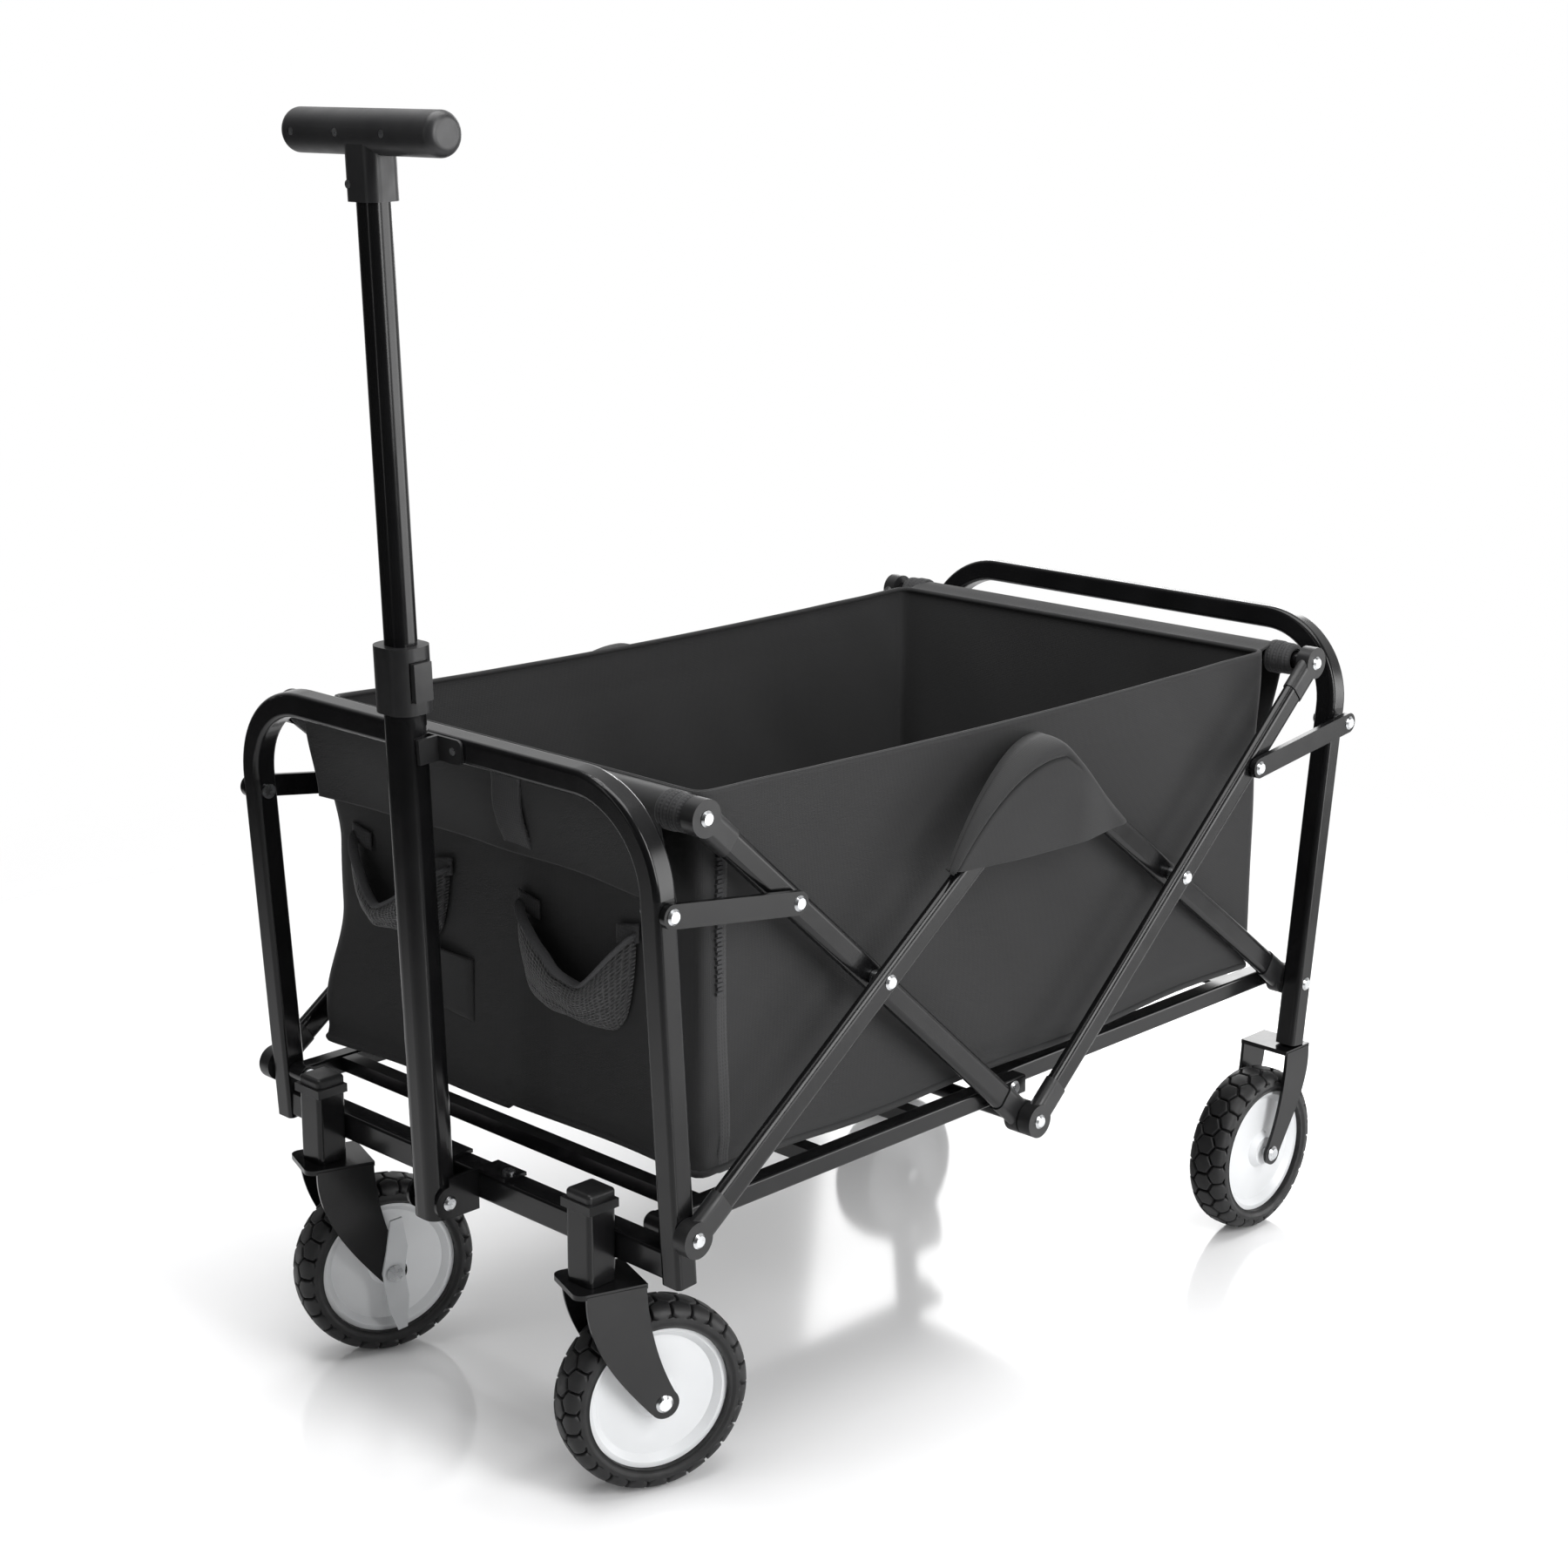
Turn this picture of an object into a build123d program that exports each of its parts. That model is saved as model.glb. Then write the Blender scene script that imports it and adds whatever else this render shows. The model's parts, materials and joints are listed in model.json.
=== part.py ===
"""Folding wagon with a pull handle: each piece is built in place and written to its own STEP file."""

import os
from math import atan2, cos, degrees, hypot, radians, sin

from build123d import *

os.makedirs("parts", exist_ok=True)

# ---- Driving dimensions, mm. +X is forward, towards the handle, +Y is the wagon's left, +Z is up. ----
MID_X = -18.0  # middle of the folding sides, behind the origin by the handle's overhang

# End frames
LEG_Y = 235.0
LEG = 20.0
LEG_CORNER = 4.0
LEG_WALL = 1.5
LEAN_FRONT = 0.066  # each leg leans outwards by this much for each mm of height
LEAN_REAR = 0.113
TOP_Z = 557.0
TOP_BEND_R = 72.0
FRONT_FOOT_Z = 189.0
REAR_FOOT_Z = 172.0

# Folding sides, as (distance from the middle, height) of each pivot
LEG_PIVOT = (393.5, 230.0)
CROSSING = (191.5, 375.7)
TOP_MIDDLE_Z = 513.5
BOTTOM_MIDDLE_Z = 208.0
TOP_ROD = (371.0, 535.5)
LINK_ON_BAR = (284.0, 456.5)
LINK_ON_LEG_Z = 474.0
BAR_W = 22.0
BAR_T = 10.5
BAR_WALL = 1.8
EYE_T = 12.5
OUTER_FRONT_Y = 251.75
OUTER_REAR_Y = 245.5
INNER_FRONT_TOP_Y = 237.5
INNER_FRONT_FOOT_Y = 231.4
INNER_REAR_TOP_Y = 238.5
INNER_REAR_FOOT_Y = 216.6
KNUCKLE_R = 14.0
SOCKET_LEN = 34.0
LINK_W = 18.0
LINK_T = 5.0
FRONT_LINK_Y = 248.0
REAR_LINK_Y = 254.9
BOLT_R = 4.0
RIVET_R = 3.5
HEAD_R = 6.0
HEAD_H = 1.8
ROD_R = 7.0
ROD_WALL = 1.5

# Base frame
BASE_RAIL = 16.0
BASE_FRONT_Y = 216.3
BASE_REAR_Y = 198.8
BASE_CROSS_X = (352.0, 222.0, 108.0)  # front half, from the middle
BASE_SLAT_X = (58.0, 187.0, 335.0)  # rear half, from the middle
SLAT_W = 26.0
SLAT_T = 4.0
BASE_LAP = 14.0

# Front rail, caster housings and casters
RAIL_H = 22.0
RAIL_D = 22.0
HOUSING = 27.0
HOUSING_Y = 163.5
HOUSING_Z = (176.0, 234.0)
HOUSING_CAP_H = 15.0
STEM_R = 6.0
CASTER_YAW = -19.4
TRAIL = 47.0

# Wheels
WHEEL_R = 75.5
TYRE_W = 38.0
RIM_R = 57.0
HUB_W = 26.0
AXLE_R = 4.0
REAR_WHEEL = (352.0, 221.0)
ARM_T = 3.0

# Handle
HANDLE_PIVOT = (428.0, 196.0)  # from the middle, and height
HANDLE_LEAN = 2.15
OUTER_TUBE = (30.0, 27.0)
INNER_TUBE = (24.0, 21.0)
TUBE_WALL = 1.3
OUTER_TUBE_TOP = 424.0  # along the handle from its pivot
COLLAR_FROM = 388.0
COLLAR_TO = 438.0
COLLAR = (40.0, 35.0)
BUTTON_TRAVEL = 3.0
EAR_R = 13.0
INNER_TUBE_FROM = 338.0
INNER_TUBE_TO = 780.0
GRIP_AT = 801.0
GRIP_LEN = 170.0
GRIP_R = 16.0
NECK_FROM = 754.0

# Basket
BASKET_X = (-345.0, 350.0)  # from the middle
BASKET_Y = 213.5
BASKET_Z = (254.0, 545.0)
CLOTH = 3.0
SLEEVE_R = 10.5
SLEEVE_HALF = 168.0

# Named clearances
RUN = 0.05  # shaft in a hole, on the radius
SLIP = 0.1  # piece pushed over another, each side
GAP = 0.4  # side play between neighbours that turn

# ---- Derived ----
FIT = BOLT_R + RUN
RIVET_FIT = RIVET_R + RUN


def x_of(from_middle):
    return MID_X + from_middle


def leg_x(end, z):
    lean = LEAN_FRONT if end > 0 else LEAN_REAR
    return x_of(end * (LEG_PIVOT[0] + lean * (z - LEG_PIVOT[1])))


def point(end, pivot, y):
    return Vector(x_of(end * pivot[0]), y, pivot[1])


def pin(x, z, y0, y1, radius, mode=Mode.ADD):
    """A round bar along Y between two side positions."""
    with Locations((x, (y0 + y1) / 2, z)):
        Cylinder(radius, abs(y1 - y0), rotation=(90, 0, 0), mode=mode)


def headed_pin(x, z, y0, y1, radius, head=HEAD_R, both=True):
    """A rivet along Y from y0 to y1, with a domed head beyond y1 and a flat one beyond y0."""
    out = 1 if y1 > y0 else -1
    pin(x, z, y0, y1, radius)
    with Locations((x, y1 + out * HEAD_H / 2, z)):
        Cone(head, head * 0.7, HEAD_H, rotation=(-90 * out, 0, 0))
    if both:
        pin(x, z, y0 - out * HEAD_H, y0, head)


def save(part, name):
    part.label = name
    export_step(part, f"parts/{name}.step")


def slot_ring(width, thick, wall):
    """Oval tube section."""
    SlotOverall(width, thick)
    SlotOverall(width - 2 * wall, thick - 2 * wall, mode=Mode.SUBTRACT)


def section_plane(start, end, at):
    """Plane across a line, `at` mm along it, with its long side in the folding plane."""
    run = (end - start).normalized()
    across = Vector(0, 1, 0).cross(run).normalized()
    return Plane(origin=start + run * at, x_dir=across, z_dir=run)


# ---- End frames ----
def end_frame(end, foot):
    """Inverted-U tube with its legs' ends at the height foot."""
    lean = LEAN_FRONT if end > 0 else LEAN_REAR
    rise = Vector(end * lean, 0, 1).normalized()
    stretch = hypot(lean, 1)
    plane = Plane(origin=(leg_x(end, 0), 0, 0), x_dir=(0, 1, 0), z_dir=Vector(0, 1, 0).cross(rise))
    low, high = foot * stretch, TOP_Z * stretch
    corners = [(LEG_Y, low), (LEG_Y, high), (-LEG_Y, high), (-LEG_Y, low)]
    with BuildLine(plane) as path:
        FilletPolyline(*corners, radius=TOP_BEND_R)
    start = Plane(origin=path.line @ 0, x_dir=(0, 1, 0), z_dir=path.line % 0)
    with BuildSketch(start) as ring:
        RectangleRounded(LEG, LEG, LEG_CORNER)
        RectangleRounded(LEG - 2 * LEG_WALL, LEG - 2 * LEG_WALL, LEG_CORNER - LEG_WALL, mode=Mode.SUBTRACT)
    sweep(sections=ring.sketch, path=path.line)


def leg_holes(end):
    for side in (1, -1):
        for z, radius in ((LEG_PIVOT[1], FIT), (LINK_ON_LEG_Z, RIVET_FIT)):
            y = side * LEG_Y
            pin(leg_x(end, z), z, y - LEG, y + LEG, radius, Mode.SUBTRACT)


with BuildPart() as front_frame_tube:
    end_frame(1, FRONT_FOOT_Z)
    leg_holes(1)
save(front_frame_tube.part, "front_frame_tube")

with BuildPart() as rear_frame_tube:
    end_frame(-1, REAR_FOOT_Z)
    leg_holes(-1)
save(rear_frame_tube.part, "rear_frame_tube")

RAIL_FACE_X = leg_x(1, FRONT_FOOT_Z) + LEG / 2 - 2.0
RAIL_TOP_Z = FRONT_FOOT_Z + 2.0 + RAIL_H
rail_half = LEG_Y - LEG / 2 - SLIP
with BuildPart() as front_cross_rail:
    with BuildSketch(Plane.XZ.offset(-rail_half)):
        with Locations((RAIL_FACE_X - RAIL_D / 2, RAIL_TOP_Z - RAIL_H / 2)):
            RectangleRounded(RAIL_D, RAIL_H, 2.5)
            RectangleRounded(RAIL_D - 3, RAIL_H - 3, 1.2, mode=Mode.SUBTRACT)
    extrude(amount=2 * rail_half)
save(front_cross_rail.part, "front_cross_rail")

HOUSING_MID_X = RAIL_FACE_X + HOUSING / 2 + SLIP
with BuildPart() as caster_housings:
    for side in (1, -1):
        with BuildSketch(Plane.XY.offset(HOUSING_Z[0])):
            with Locations((HOUSING_MID_X, side * HOUSING_Y)):
                RectangleRounded(HOUSING, HOUSING, 4)
                Circle(STEM_R + RUN, mode=Mode.SUBTRACT)
        extrude(amount=HOUSING_Z[1] - HOUSING_Z[0])
save(caster_housings.part, "caster_housings")

with BuildPart() as housing_caps:
    with Locations((HOUSING_MID_X, HOUSING_Y, HOUSING_Z[1] + SLIP + HOUSING_CAP_H / 2)):
        Box(HOUSING, HOUSING, HOUSING_CAP_H)
    fillet(housing_caps.edges().group_by(Axis.Z)[-1] + housing_caps.edges().filter_by(Axis.Z), 3.5)
    with Locations((HOUSING_MID_X + 0.9, HOUSING_Y, HOUSING_Z[1] + SLIP + 3.5)):
        Box(HOUSING + 1.8, HOUSING + 5, 7.0)
    mirror(about=Plane.XZ)
save(housing_caps.part, "housing_caps")


# ---- Folding sides ----
def bar_line(name):
    """Start, end and crossing point of the left bar of each pair."""
    mid_top, mid_low = (0.0, TOP_MIDDLE_Z), (0.0, BOTTOM_MIDDLE_Z)
    lines = {
        "outer_front": (point(1, LEG_PIVOT, OUTER_FRONT_Y), point(1, mid_top, OUTER_FRONT_Y)),
        "inner_front": (point(1, mid_low, INNER_FRONT_FOOT_Y), point(1, TOP_ROD, INNER_FRONT_TOP_Y)),
        "inner_rear": (point(-1, LEG_PIVOT, INNER_REAR_FOOT_Y), point(-1, mid_top, INNER_REAR_TOP_Y)),
        "outer_rear": (point(-1, mid_low, OUTER_REAR_Y), point(-1, TOP_ROD, OUTER_REAR_Y)),
    }
    return lines[name]


def on_bar(name, x):
    start, end = bar_line(name)
    share = (x - start.X) / (end.X - start.X)
    return start + (end - start) * share


CROSS_FRONT_X = x_of(CROSSING[0])
CROSS_REAR_X = x_of(-CROSSING[0])
LINK_BAR_FRONT_X = x_of(LINK_ON_BAR[0])
LINK_BAR_REAR_X = x_of(-LINK_ON_BAR[0])


def bar(name, holes):
    """One oval tube between its two knuckles, with cross holes at the given X positions and heights."""
    start, end = bar_line(name)
    length = (end - start).length
    with BuildSketch(section_plane(start, end, KNUCKLE_R + 2)) as section:
        slot_ring(BAR_W, BAR_T, BAR_WALL)
    extrude(section.sketch, amount=length - 2 * (KNUCKLE_R + 2))
    for x, z in holes:
        y = on_bar(name, x).Y
        pin(x, z, y - BAR_T, y + BAR_T, RIVET_FIT, Mode.SUBTRACT)


def knuckle(name, at_start, bore):
    """Plastic end piece: an eye across the pivot and a socket over the bar's end."""
    start, end = bar_line(name)
    if not at_start:
        start, end = end, start
    y = start.Y
    pin(start.X, start.Z, y - EYE_T / 2, y + EYE_T / 2, KNUCKLE_R)
    with BuildSketch(section_plane(start, end, 2)) as socket:
        SlotOverall(BAR_W + EYE_T - BAR_T, EYE_T)
    extrude(socket.sketch, amount=SOCKET_LEN)
    with BuildSketch(section_plane(start, end, KNUCKLE_R + 2 - SLIP)) as bore_in:
        SlotOverall(BAR_W + 2 * SLIP, BAR_T + 2 * SLIP)
    extrude(bore_in.sketch, amount=SOCKET_LEN, mode=Mode.SUBTRACT)
    pin(start.X, start.Z, y - EYE_T, y + EYE_T, bore, Mode.SUBTRACT)


BARS = ("outer_front", "inner_front", "inner_rear", "outer_rear")


for bar_name in BARS:
    crossing_x = CROSS_FRONT_X if "front" in bar_name else CROSS_REAR_X
    with BuildPart() as bars:
        bar(bar_name, [(crossing_x, CROSSING[1])])
        mirror(about=Plane.XZ)
    save(bars.part, f"{bar_name}_bars")
    with BuildPart() as knuckles:
        for at_start in (True, False):
            knuckle(bar_name, at_start, FIT)
        mirror(about=Plane.XZ)
    save(knuckles.part, f"{bar_name}_knuckles")


# Rivets and bolts. Each stands with its left piece and its mirror image in one group.
def crossing_rivet(x, inner, outer):
    """Rivet through two bars with a shoulder that keeps them apart."""
    y_in, y_out = on_bar(inner, x).Y, on_bar(outer, x).Y
    headed_pin(x, CROSSING[1], y_in - BAR_T / 2 - GAP, y_out + BAR_T / 2 + GAP, RIVET_R)
    pin(x, CROSSING[1], y_in + BAR_T / 2 + GAP, y_out - BAR_T / 2 - GAP, HEAD_R)


front_pivot_x = x_of(LEG_PIVOT[0])
rear_pivot_x = x_of(-LEG_PIVOT[0])
pivot_z = LEG_PIVOT[1]
leg_out = LEG_Y + LEG / 2
leg_in = LEG_Y - LEG / 2
front_link_leg_x = leg_x(1, LINK_ON_LEG_Z)
rear_link_leg_x = leg_x(-1, LINK_ON_LEG_Z)

with BuildPart() as front_leg_bolts:
    bar_face = OUTER_FRONT_Y + EYE_T / 2
    headed_pin(front_pivot_x, pivot_z, BASE_FRONT_Y - BASE_RAIL / 2 - GAP, bar_face + GAP, BOLT_R)
    headed_pin(front_link_leg_x, LINK_ON_LEG_Z, leg_in - GAP, FRONT_LINK_Y + LINK_T / 2 + GAP, RIVET_R)
    mirror(about=Plane.XZ)
save(front_leg_bolts.part, "front_leg_bolts")

with BuildPart() as rear_leg_bolts:
    headed_pin(rear_pivot_x, pivot_z, BASE_REAR_Y - BASE_RAIL / 2 - GAP, leg_out + GAP, BOLT_R)
    headed_pin(rear_link_leg_x, LINK_ON_LEG_Z, leg_in - GAP, REAR_LINK_Y + LINK_T / 2 + GAP, RIVET_R)
    pin(rear_link_leg_x, LINK_ON_LEG_Z, leg_out + SLIP, REAR_LINK_Y - LINK_T / 2 - GAP, HEAD_R)
    mirror(about=Plane.XZ)
save(rear_leg_bolts.part, "rear_leg_bolts")

with BuildPart() as outer_front_rivets:
    crossing_rivet(CROSS_FRONT_X, "inner_front", "outer_front")
    inside = INNER_REAR_TOP_Y - EYE_T / 2 - GAP
    headed_pin(MID_X, TOP_MIDDLE_Z, inside, OUTER_FRONT_Y + EYE_T / 2 + GAP, BOLT_R)
    mirror(about=Plane.XZ)
save(outer_front_rivets.part, "outer_front_rivets")

with BuildPart() as inner_rear_rivets:
    crossing_rivet(CROSS_REAR_X, "inner_rear", "outer_rear")
    mirror(about=Plane.XZ)
save(inner_rear_rivets.part, "inner_rear_rivets")

with BuildPart() as outer_rear_rivets:
    for x, z in ((MID_X, BOTTOM_MIDDLE_Z), (x_of(-TOP_ROD[0]), TOP_ROD[1])):
        headed_pin(x, z, OUTER_REAR_Y - EYE_T / 2 + GAP, OUTER_REAR_Y + EYE_T / 2 + GAP, BOLT_R, both=False)
    mirror(about=Plane.XZ)
save(outer_rear_rivets.part, "outer_rear_rivets")

with BuildPart() as inner_front_rivets:
    face = INNER_FRONT_TOP_Y + EYE_T / 2
    headed_pin(x_of(TOP_ROD[0]), TOP_ROD[1], face - EYE_T + GAP, face + GAP, BOLT_R, both=False)
    mirror(about=Plane.XZ)
save(inner_front_rivets.part, "inner_front_rivets")


def cross_rod(x, z, half):
    with BuildPart() as rod:
        pin(x, z, -half, half, ROD_R)
        pin(x, z, -half - 1, half + 1, ROD_R - ROD_WALL, Mode.SUBTRACT)
    return rod.part


save(cross_rod(x_of(TOP_ROD[0]), TOP_ROD[1], INNER_FRONT_TOP_Y - EYE_T / 2 - SLIP), "front_top_rod")
save(cross_rod(x_of(-TOP_ROD[0]), TOP_ROD[1], OUTER_REAR_Y - EYE_T / 2 - SLIP), "rear_top_rod")

with BuildPart() as bottom_middle_rod:
    face = INNER_FRONT_FOOT_Y - EYE_T / 2
    pin(MID_X, BOTTOM_MIDDLE_Z, -face + SLIP, face - SLIP, ROD_R)
    tip = OUTER_REAR_Y - EYE_T / 2 - GAP
    pin(MID_X, BOTTOM_MIDDLE_Z, -tip, tip, BOLT_R)
save(bottom_middle_rod.part, "bottom_middle_rod")


def side_link(leg_at, bar_at, y):
    """Flat link with round ends between a leg and a bar."""
    angle = degrees(atan2(bar_at[1] - leg_at[1], bar_at[0] - leg_at[0]))
    reach = hypot(bar_at[0] - leg_at[0], bar_at[1] - leg_at[1])
    middle = ((leg_at[0] + bar_at[0]) / 2, (leg_at[1] + bar_at[1]) / 2)
    with BuildSketch(Plane.XZ.offset(-y - LINK_T / 2)) as plate:
        with Locations(Location((*middle, 0), (0, 0, angle))):
            SlotCenterToCenter(reach, LINK_W)
        with Locations(leg_at, bar_at):
            Circle(RIVET_FIT, mode=Mode.SUBTRACT)
    extrude(plate.sketch, amount=LINK_T)
    mirror(about=Plane.XZ)


front_link_bar = (LINK_BAR_FRONT_X, LINK_ON_BAR[1])
rear_link_bar = (LINK_BAR_REAR_X, LINK_ON_BAR[1])
with BuildPart() as front_links:
    side_link((front_link_leg_x, LINK_ON_LEG_Z), front_link_bar, FRONT_LINK_Y)
save(front_links.part, "front_links")
with BuildPart() as rear_links:
    side_link((rear_link_leg_x, LINK_ON_LEG_Z), rear_link_bar, REAR_LINK_Y)
save(rear_links.part, "rear_links")


def link_rivet(bar_name, at, y):
    """Rivet at the link's bar end, whose foot stops just short of the bar."""
    foot = on_bar(bar_name, at[0]).Y + BAR_T / 2 + GAP
    headed_pin(*at, foot, y + LINK_T / 2 + SLIP, RIVET_R, both=False)
    if y - LINK_T / 2 - SLIP > foot + GAP:
        pin(*at, foot, y - LINK_T / 2 - SLIP, HEAD_R)
    mirror(about=Plane.XZ)


with BuildPart() as front_link_rivets:
    link_rivet("inner_front", front_link_bar, FRONT_LINK_Y)
save(front_link_rivets.part, "front_link_rivets")
with BuildPart() as rear_link_rivets:
    link_rivet("outer_rear", rear_link_bar, REAR_LINK_Y)
save(rear_link_rivets.part, "rear_link_rivets")


# ---- Base frame halves ----
def base_half(end, y, members, member_size):
    """Two rails from the leg pivots to past the middle, joined by cross members."""
    near, far = sorted((x_of(-end * BASE_LAP), x_of(end * LEG_PIVOT[0])))
    with BuildSketch(Plane.YZ.offset(near)) as ring:
        with Locations((y, pivot_z)):
            RectangleRounded(BASE_RAIL, BASE_RAIL, 2)
            RectangleRounded(BASE_RAIL - 3, BASE_RAIL - 3, 1, mode=Mode.SUBTRACT)
    extrude(ring.sketch, amount=far - near)
    pin(x_of(end * LEG_PIVOT[0]), pivot_z, y - BASE_RAIL / 2, y + BASE_RAIL / 2, BASE_RAIL / 2)
    mirror(about=Plane.XZ)
    width, thick = member_size
    for x in members:
        with Locations((x_of(end * x), 0, pivot_z + (BASE_RAIL - thick) / 2 - 1)):
            Box(width, 2 * y - BASE_RAIL + 1.0, thick)
    for side in (1, -1):
        face = side * y
        pin(x_of(end * LEG_PIVOT[0]), pivot_z, face - BASE_RAIL, face + BASE_RAIL, FIT, Mode.SUBTRACT)


with BuildPart() as base_front:
    base_half(1, BASE_FRONT_Y, BASE_CROSS_X, (14.0, 12.0))
    pin(MID_X, pivot_z, -BASE_FRONT_Y * 1.1, BASE_FRONT_Y * 1.1, RIVET_FIT, Mode.SUBTRACT)
save(base_front.part, "base_front_frame")

with BuildPart() as base_rear:
    base_half(-1, BASE_REAR_Y, BASE_SLAT_X, (SLAT_W, SLAT_T))
save(base_rear.part, "base_rear_frame")

with BuildPart() as base_rivets:
    inside = BASE_FRONT_Y - BASE_RAIL / 2 + SLIP
    headed_pin(MID_X, pivot_z, inside, BASE_FRONT_Y + BASE_RAIL / 2 + SLIP, RIVET_R, both=False)
    mirror(about=Plane.XZ)
save(base_rivets.part, "base_middle_rivets")

# ---- Handle ----
handle_foot = Vector(x_of(HANDLE_PIVOT[0]), 0, HANDLE_PIVOT[1])
handle_up = Vector(sin(radians(HANDLE_LEAN)), 0, cos(radians(HANDLE_LEAN)))


def along_handle(distance):
    """Plane across the handle; its x is the wagon's Y and its y points backwards."""
    return Plane(origin=handle_foot + handle_up * distance, x_dir=(0, 1, 0), z_dir=handle_up)


def tube_section(size, extra=0.0, mode=Mode.ADD):
    RectangleRounded(size[0] + 2 * extra, size[1] + 2 * extra, min(size) * 0.4 + extra, mode=mode)


with BuildPart() as handle_outer_tube:
    with BuildSketch(along_handle(-14)):
        tube_section(OUTER_TUBE)
        tube_section(OUTER_TUBE, -TUBE_WALL, Mode.SUBTRACT)
    extrude(amount=14 + OUTER_TUBE_TOP)
    pin(handle_foot.X, handle_foot.Z, -LEG_Y / 4, LEG_Y / 4, FIT, Mode.SUBTRACT)
save(handle_outer_tube.part, "handle_outer_tube")

button_mid = (COLLAR_FROM + COLLAR_TO) / 2
with BuildPart() as handle_collar:
    with BuildSketch(along_handle(COLLAR_FROM)):
        tube_section(COLLAR)
        tube_section(OUTER_TUBE, SLIP, Mode.SUBTRACT)
    extrude(amount=OUTER_TUBE_TOP - COLLAR_FROM + SLIP)
    with BuildSketch(along_handle(OUTER_TUBE_TOP + SLIP)):
        tube_section(COLLAR)
        tube_section(INNER_TUBE, SLIP, Mode.SUBTRACT)
    extrude(amount=COLLAR_TO - OUTER_TUBE_TOP - SLIP)
    with BuildSketch(along_handle(button_mid - 15)):
        with Locations((COLLAR[0] / 2, 0)):
            Rectangle(2 * BUTTON_TRAVEL + 1.6, 17)
    extrude(amount=30, mode=Mode.SUBTRACT)
save(handle_collar.part, "handle_collar")

with BuildPart() as release_button:
    with BuildSketch(along_handle(button_mid - 14.5)):
        with Locations((COLLAR[0] / 2 + 2.2, 0)):
            Rectangle(4.8, 16)
    extrude(amount=29)
save(release_button.part, "release_button")

with BuildPart() as handle_inner_tube:
    with BuildSketch(along_handle(INNER_TUBE_FROM)):
        tube_section(INNER_TUBE)
        tube_section(INNER_TUBE, -TUBE_WALL, Mode.SUBTRACT)
    extrude(amount=INNER_TUBE_TO - INNER_TUBE_FROM)
save(handle_inner_tube.part, "handle_inner_tube")

GRIP_SCREWS = ((-70.0, GRIP_AT), (-19.0, GRIP_AT), (33.0, GRIP_AT), (-10.0, NECK_FROM + 12))
grip_forward = handle_up.cross(Vector(0, 1, 0)) * -1


def screw_spot(spot, depth):
    """Plane facing forwards at a grip screw, `depth` behind the grip's front."""
    y, distance = spot
    front = GRIP_R if distance == GRIP_AT else 14.0
    if distance == GRIP_AT:
        front -= 0.6
    origin = handle_foot + handle_up * distance + Vector(0, y, 0) + grip_forward * (front - depth)
    return Plane(origin=origin, x_dir=(0, 1, 0), z_dir=grip_forward)


with BuildPart() as handle_grip:
    with BuildSketch(along_handle(NECK_FROM)):
        RectangleRounded(34, 28, 9)
    extrude(amount=GRIP_AT - NECK_FROM)
    grip_mid = handle_foot + handle_up * GRIP_AT
    with Locations((grip_mid.X, 0, grip_mid.Z)):
        Cylinder(GRIP_R, GRIP_LEN, rotation=(90, 0, 0))
    rim = handle_grip.faces().sort_by(Axis.Y)
    fillet(rim[0].edges() + rim[-1].edges(), 7)
    with BuildSketch(along_handle(NECK_FROM)):
        tube_section(INNER_TUBE, SLIP)
    extrude(amount=INNER_TUBE_TO - NECK_FROM + SLIP, mode=Mode.SUBTRACT)
    for spot in GRIP_SCREWS:
        with BuildSketch(screw_spot(spot, 2.5)):
            Circle(3.1)
        extrude(amount=6, mode=Mode.SUBTRACT)
save(handle_grip.part, "handle_grip")

with BuildPart() as grip_screws:
    for spot in GRIP_SCREWS:
        with BuildSketch(screw_spot(spot, 2.4)):
            Circle(3)
        extrude(amount=2.6)
save(grip_screws.part, "grip_screws")

ear_y = OUTER_TUBE[0] / 2 + GAP
rail_front = RAIL_FACE_X + SLIP
flange_top = RAIL_TOP_Z + SLIP + ARM_T
ear_low = handle_foot.Z - EAR_R
with BuildPart() as handle_bracket:
    with BuildSketch(Plane.XZ.offset(-ear_y - ARM_T)):
        with Locations((RAIL_FACE_X - RAIL_D / 2, RAIL_TOP_Z + SLIP + ARM_T / 2)):
            Rectangle(RAIL_D, ARM_T)
        with Locations(((rail_front + handle_foot.X) / 2, (ear_low + flange_top) / 2)):
            Rectangle(handle_foot.X - rail_front, flange_top - ear_low)
        with Locations((handle_foot.X, handle_foot.Z)):
            Circle(EAR_R)
            Circle(FIT, mode=Mode.SUBTRACT)
    extrude(amount=ARM_T)
    with Locations((RAIL_FACE_X - RAIL_D / 2, ear_y + 17, RAIL_TOP_Z + SLIP + ARM_T / 2)):
        Box(RAIL_D, 34, ARM_T)
    mirror(about=Plane.XZ)
save(handle_bracket.part, "handle_bracket")

with BuildPart() as bracket_fasteners:
    out = ear_y + ARM_T + GAP
    headed_pin(handle_foot.X, handle_foot.Z, -out, out, BOLT_R)
    for side in (1, -1):
        with Locations((RAIL_FACE_X - RAIL_D / 2, side * (ear_y + 26), RAIL_TOP_Z + SLIP + ARM_T + 1)):
            Cylinder(5, 2)
save(bracket_fasteners.part, "bracket_fasteners")

top_bar = Vector(leg_x(1, TOP_Z), 0, TOP_Z)
bar_front = Vector(1, 0, -LEAN_FRONT).normalized()


def clip_plane(distance):
    return Plane(origin=top_bar + bar_front * distance, x_dir=(0, 1, 0), z_dir=bar_front)


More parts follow.
